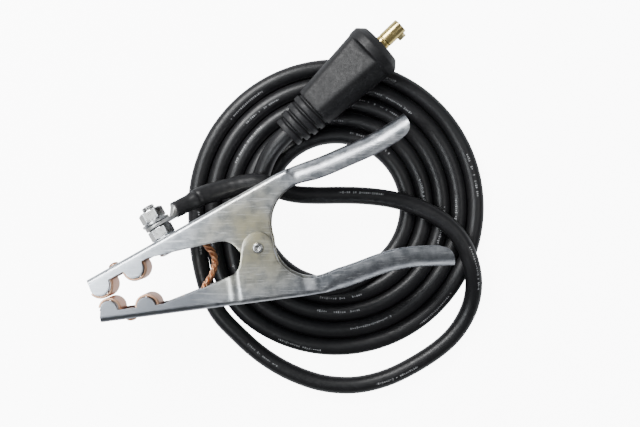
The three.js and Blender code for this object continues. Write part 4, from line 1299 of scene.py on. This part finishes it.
@dataclass
class Terminal:
    """Bolt, two nuts, washer and cable lug on the upper web, and the shrink sleeve over the barrel."""

    frame: Frame
    bolt_x: float = -45.0
    bolt_r: float = 3.9
    pitch: float = 1.25
    flats: float = 13.0
    nut: float = 6.5
    head: float = 4.0
    bolt_over: float = 2.8
    thread: float = 0.62
    washer_r: float = 8.3
    washer: float = 1.4
    palm: float = 2.2
    palm_r: float = 7.5
    barrel_r: float = 4.25
    lug_length: float = 27.0
    tilt: float = radians(25)
    shrink_start: float = 13.2
    shrink_wall: float = 0.6

    def heights(self) -> dict[str, float]:
        """Heights of the stack above the web."""
        inner = UPPER_ARM.web + self.frame.gap
        lug = inner + self.nut + self.frame.gap
        washer = lug + self.palm + self.frame.gap
        outer = washer + self.washer + self.frame.gap
        end = outer + self.nut + self.bolt_over
        return {"inner": inner, "lug": lug, "washer": washer, "outer": outer, "end": end}

    def nut_mesh(self, low: float) -> BMesh:
        """Chamfered hexagon nut standing on a height."""
        corner = self.flats / sqrt(3)
        bore, high = self.bolt_r + self.frame.gap, low + self.nut
        face, rim = self.flats / 2 - 0.3, corner + 0.02
        loop = [(bore, low + 0.5), (bore + 0.5, low), (face, low), (rim, low + 0.7)]
        loop += [(rim, high - 0.7), (face, high), (bore + 0.5, high), (bore, high - 0.5)]
        return turned_mesh(eased([*loop, loop[0]], 0.12, 2), 96, hexagonal(self.flats))

    def bolt_mesh(self, end: float) -> BMesh:
        """Hexagon bolt with a threaded end."""
        f = self.frame
        under = f.strip_height(UPPER_ARM) - f.strip / 2 - 2 * f.gap - 1
        corner = self.flats / sqrt(3)
        low = under - self.head
        start = UPPER_ARM.web - 1
        profile = [(0, low), (self.flats / 2 - 0.4, low), (corner, low + 0.8)]
        profile += [(corner, under), (self.bolt_r, under)]
        rows = int((end - 0.1 - start) / self.pitch * 8)
        profile += [(self.bolt_r, start + i * self.pitch / 8) for i in range(rows + 1)]
        profile += [(3.1, end), (0, end)]
        hexagon = hexagonal(self.flats)

        def shape(r: float, x: float, angle: float) -> float:
            """Hexagonal head, helical thread, chamfered end."""
            if x <= under:
                return hexagon(r, x, angle)
            if r == 0 or x < start:
                return r
            wave = abs(((x / self.pitch - angle / TAU) % 1.0) * 2 - 1)
            return min(r - self.thread * wave, 3.2 + max(0.0, (end - x) * 1.2))

        return turned_mesh(profile, 72, shape)

    def lug_mesh(self, low: float) -> BMesh:
        """Lug along X: flat round palm, pressed neck, round barrel."""
        stations = [-self.palm_r * cos(radians(6 * i)) for i in range(16)]
        stations += [1.0 * i for i in range(1, 9)] + [8.5 + 0.4 * i for i in range(17)]
        stations += [15.5 + i * (self.lug_length - 15.5) / 10 for i in range(11)]
        sides = 40

        def shape(i: int, j: int) -> Vector:
            """Point of the skin: a flat rounded bar that swells to a tube."""
            t = stations[i]
            swell = step_between(t, 8.6, 14.2)
            wide = sqrt(max(0.0, self.palm_r**2 - min(t, 0.0) ** 2))
            wide += (self.barrel_r - wide) * step_between(t, 3.0, 12.5)
            thick = self.palm / 2 + (self.barrel_r - self.palm / 2) * swell
            power = 0.22 + 0.78 * swell
            a = TAU * (j % sides) / sides
            c, s = cos(a), sin(a)
            across = wide * copysign(abs(c) ** power, c)
            up = thick * copysign(abs(s) ** power, s)
            return Vector((t, low + thick + up, across))

        return sheet_mesh(len(stations) - 1, sides, shape)

    def shrink_line(self, lug_place: Matrix, axis: float, lead: Sequence) -> list[Vector]:
        """Middle line of the sleeve, from the barrel along the cable."""
        start = [lug_place @ Vector((t, axis, 0)) for t in (self.shrink_start, 22)]
        return evenly(smooth_line([*start, *lead[:7]]), 0.8)

    def build(self, maker: Maker, cable: Cable) -> None:
        """Make the stack, the lug and the sleeve.

        Args:
            maker: Makes the pieces.
            cable: Cable whose first bend the sleeve follows.
        """
        f, at = self.frame, self.heights()
        bolt_place = f.place(UPPER_ARM) @ Matrix.Translation((self.bolt_x, 0, 0))
        stand = bolt_place @ Matrix.Rotation(TAU / 4, 4, "Z")
        bore = self.bolt_r + f.gap
        low, high = at["washer"], at["washer"] + self.washer
        ring = [(bore, low), (self.washer_r, low), (self.washer_r, high), (bore, high), (bore, low)]
        for name, bm, node in (
            ("bolt", self.bolt_mesh(at["end"]), "terminal_bolt"),
            ("inner_nut", self.nut_mesh(at["inner"]), "terminal_nut_inner"),
            ("outer_nut", self.nut_mesh(at["outer"]), "terminal_nut_outer"),
            ("washer", turned_mesh(eased(ring, 0.3, 3), 64), "terminal_washer"),
        ):
            maker.piece(name, bm, stand, Look.BRIGHT, Body.UPPER, node, sharp=32)
        lug_place = bolt_place @ Matrix.Rotation(self.tilt, 4, "Y")
        lug = self.lug_mesh(at["lug"])
        maker.piece("lug", lug, lug_place, Look.TINNED, Body.UPPER, "cable_lug", sharp=45)
        guide = Guide(self.shrink_line(lug_place, at["lug"] + self.barrel_r, cable.lead))
        run = 0.8 * len(guide.points)

        def radius(i: int, angle: float) -> float:
            """Sleeve drawn tight over barrel and cable, with a crease between them and fine wrinkles."""
            s = 0.8 * i
            r = self.barrel_r + (cable.radius - self.barrel_r) * step_between(s, 9.0, 15.0)
            r += self.shrink_wall - 0.18 * step_between(s, run - 4, run)
            side = 0.5 + 0.5 * cos(angle - 2.4)
            r -= 0.75 * side * exp(-(((s - 14.0 - 1.5 * sin(angle)) / 0.9) ** 2))
            at_point = guide.points[i]
            wrinkle = noise.noise(Vector((at_point.x * 0.35, at_point.y * 0.35, 3.1 * cos(angle))))
            return r + 0.16 * wrinkle

        sleeve = maker.piece(
            "shrink", tube_mesh(guide, 40, radius), Matrix.Identity(4),
            Look.SHRINK, Body.UPPER, "heat_shrink", sharp=60, sheet=True,
        )
        maker.thicken(sleeve, self.shrink_wall * 0.8)


def build_clamp(maker: Maker, cable: Cable) -> None:
    """Make arms, contacts, pivot, link and terminal of the clamp, which lies on its side over the coil.

    Args:
        maker: Makes the pieces.
        cable: Cable that starts at the lug.
    """
    frame = Frame()
    for form in (UPPER_ARM, LOWER_ARM):
        Arm(frame, form).build(maker)
        Contact(frame, form).build(maker)
    Pivot(frame).build(maker)
    Link(frame).build(maker)
    Terminal(frame).build(maker, cable)


def dress_nodes(frame: dict, maker: Maker) -> None:
    """Give the CAD nodes that stay in the scene their finishes.

    Args:
        maker: Holds the materials.
    """
    copper = ("lug_conductor", "link_rivet", "plug_ferrule", "plug_conductor")
    steel = ("plug_screw_1", "plug_screw_2")
    for look, nodes in ((Look.COPPER, copper), (Look.SPRING, steel)):
        for node in nodes:
            maker.dress(frame["nodes"][node], look)
            log.info("%s: carried over", node)


# ---------------------------------------------------------------- studio


@dataclass
class Studio:
    """Camera straight above, pale floor and soft light from the upper left."""

    camera_at: tuple[float, float, float] = (0.0351, 0.0195, 0.6)
    lens: float = 54.0
    aim: tuple[float, float, float] = (0.03, 0.02, 0.02)
    floor: float = 1.6
    glow: float = 9.0
    sky: tuple = (("From Min", -0.3), ("From Max", 0.15), ("To Min", 1.3), ("To Max", 0.17))

    def place_camera(self) -> None:
        """Make the camera, looking straight down."""
        data = bpy.data.cameras.new("camera")
        data.lens = self.lens
        data.clip_start = 0.01
        camera = shown("camera", data)
        camera.location = self.camera_at
        bpy.context.scene.camera = camera

    def light(
        self, name: str, at: Sequence[float], size: float, power: float, colour: Colour = (1, 1, 1)
    ) -> None:
        """Square area light aimed at the middle of the object."""
        data = bpy.data.lights.new(name, "AREA")
        data.size = size
        data.energy = power
        data.color = colour
        lamp = shown(name, data)
        lamp.location = at
        aim = Vector(self.aim) - Vector(at)
        lamp.rotation_euler = aim.to_track_quat("-Z", "Y").to_euler()

    def build(self) -> None:
        """Make the floor, the lights and the surroundings."""
        bm = bmesh.new()
        bmesh.ops.create_grid(bm, x_segments=4, y_segments=4, size=self.floor)
        mesh = bpy.data.meshes.new("floor")
        bm.to_mesh(mesh)
        bm.free()
        floor = shown("floor", mesh)
        floor.visible_glossy = False
        floor.visible_diffuse = False
        g = Graph("floor_paper")
        tone = g.mix(g.span(g.noise(6, 2), 0.3, 0.7), (0.9, 0.9, 0.9), (0.93, 0.93, 0.93))
        g.end(Base_Color=tone, Roughness=0.9, Specular_IOR_Level=0.1)
        g.end(Emission_Color=(1, 1, 1), Emission_Strength=self.glow)
        mesh.materials.append(g.material)
        self.light("key", (-0.5, 0.7, 0.85), 0.5, 19)
        self.light("left", (-0.62, -0.05, 1.2), 0.5, 8, (0.93, 0.97, 1))
        self.light("right", (0.75, 0.15, 1.0), 0.5, 1.5)
        world = bpy.data.worlds.new("surroundings")
        world.use_nodes = True
        tree = world.node_tree
        away = tree.nodes.new("ShaderNodeTexCoord")
        apart = tree.nodes.new("ShaderNodeSeparateXYZ")
        strength = tree.nodes.new("ShaderNodeMapRange")
        for name, value in self.sky:
            strength.inputs[name].default_value = value
        tree.links.new(away.outputs["Object"], apart.inputs[0])
        tree.links.new(apart.outputs["Z"], strength.inputs["Value"])
        tree.links.new(strength.outputs[0], tree.nodes["Background"].inputs["Strength"])
        tree.nodes["Background"].inputs["Color"].default_value = (0.93, 0.96, 1, 1)
        bpy.context.scene.world = world


def main() -> None:
    """Build the object and its studio, and log how many pieces were made."""
    logging.basicConfig(level=logging.INFO, format="%(message)s")
    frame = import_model()
    studio = Studio()
    studio.place_camera()
    cable = Cable()
    route = cable.route()
    maker = Maker(make_materials(line_length(route) * MM))
    cord = cable.build(maker, route)
    Plug().build(maker)
    build_clamp(maker, cable)
    dress_nodes(frame, maker)
    studio.build()
    log.info("%d pieces made", len(maker.made))


if __name__ == "__main__":
    main()
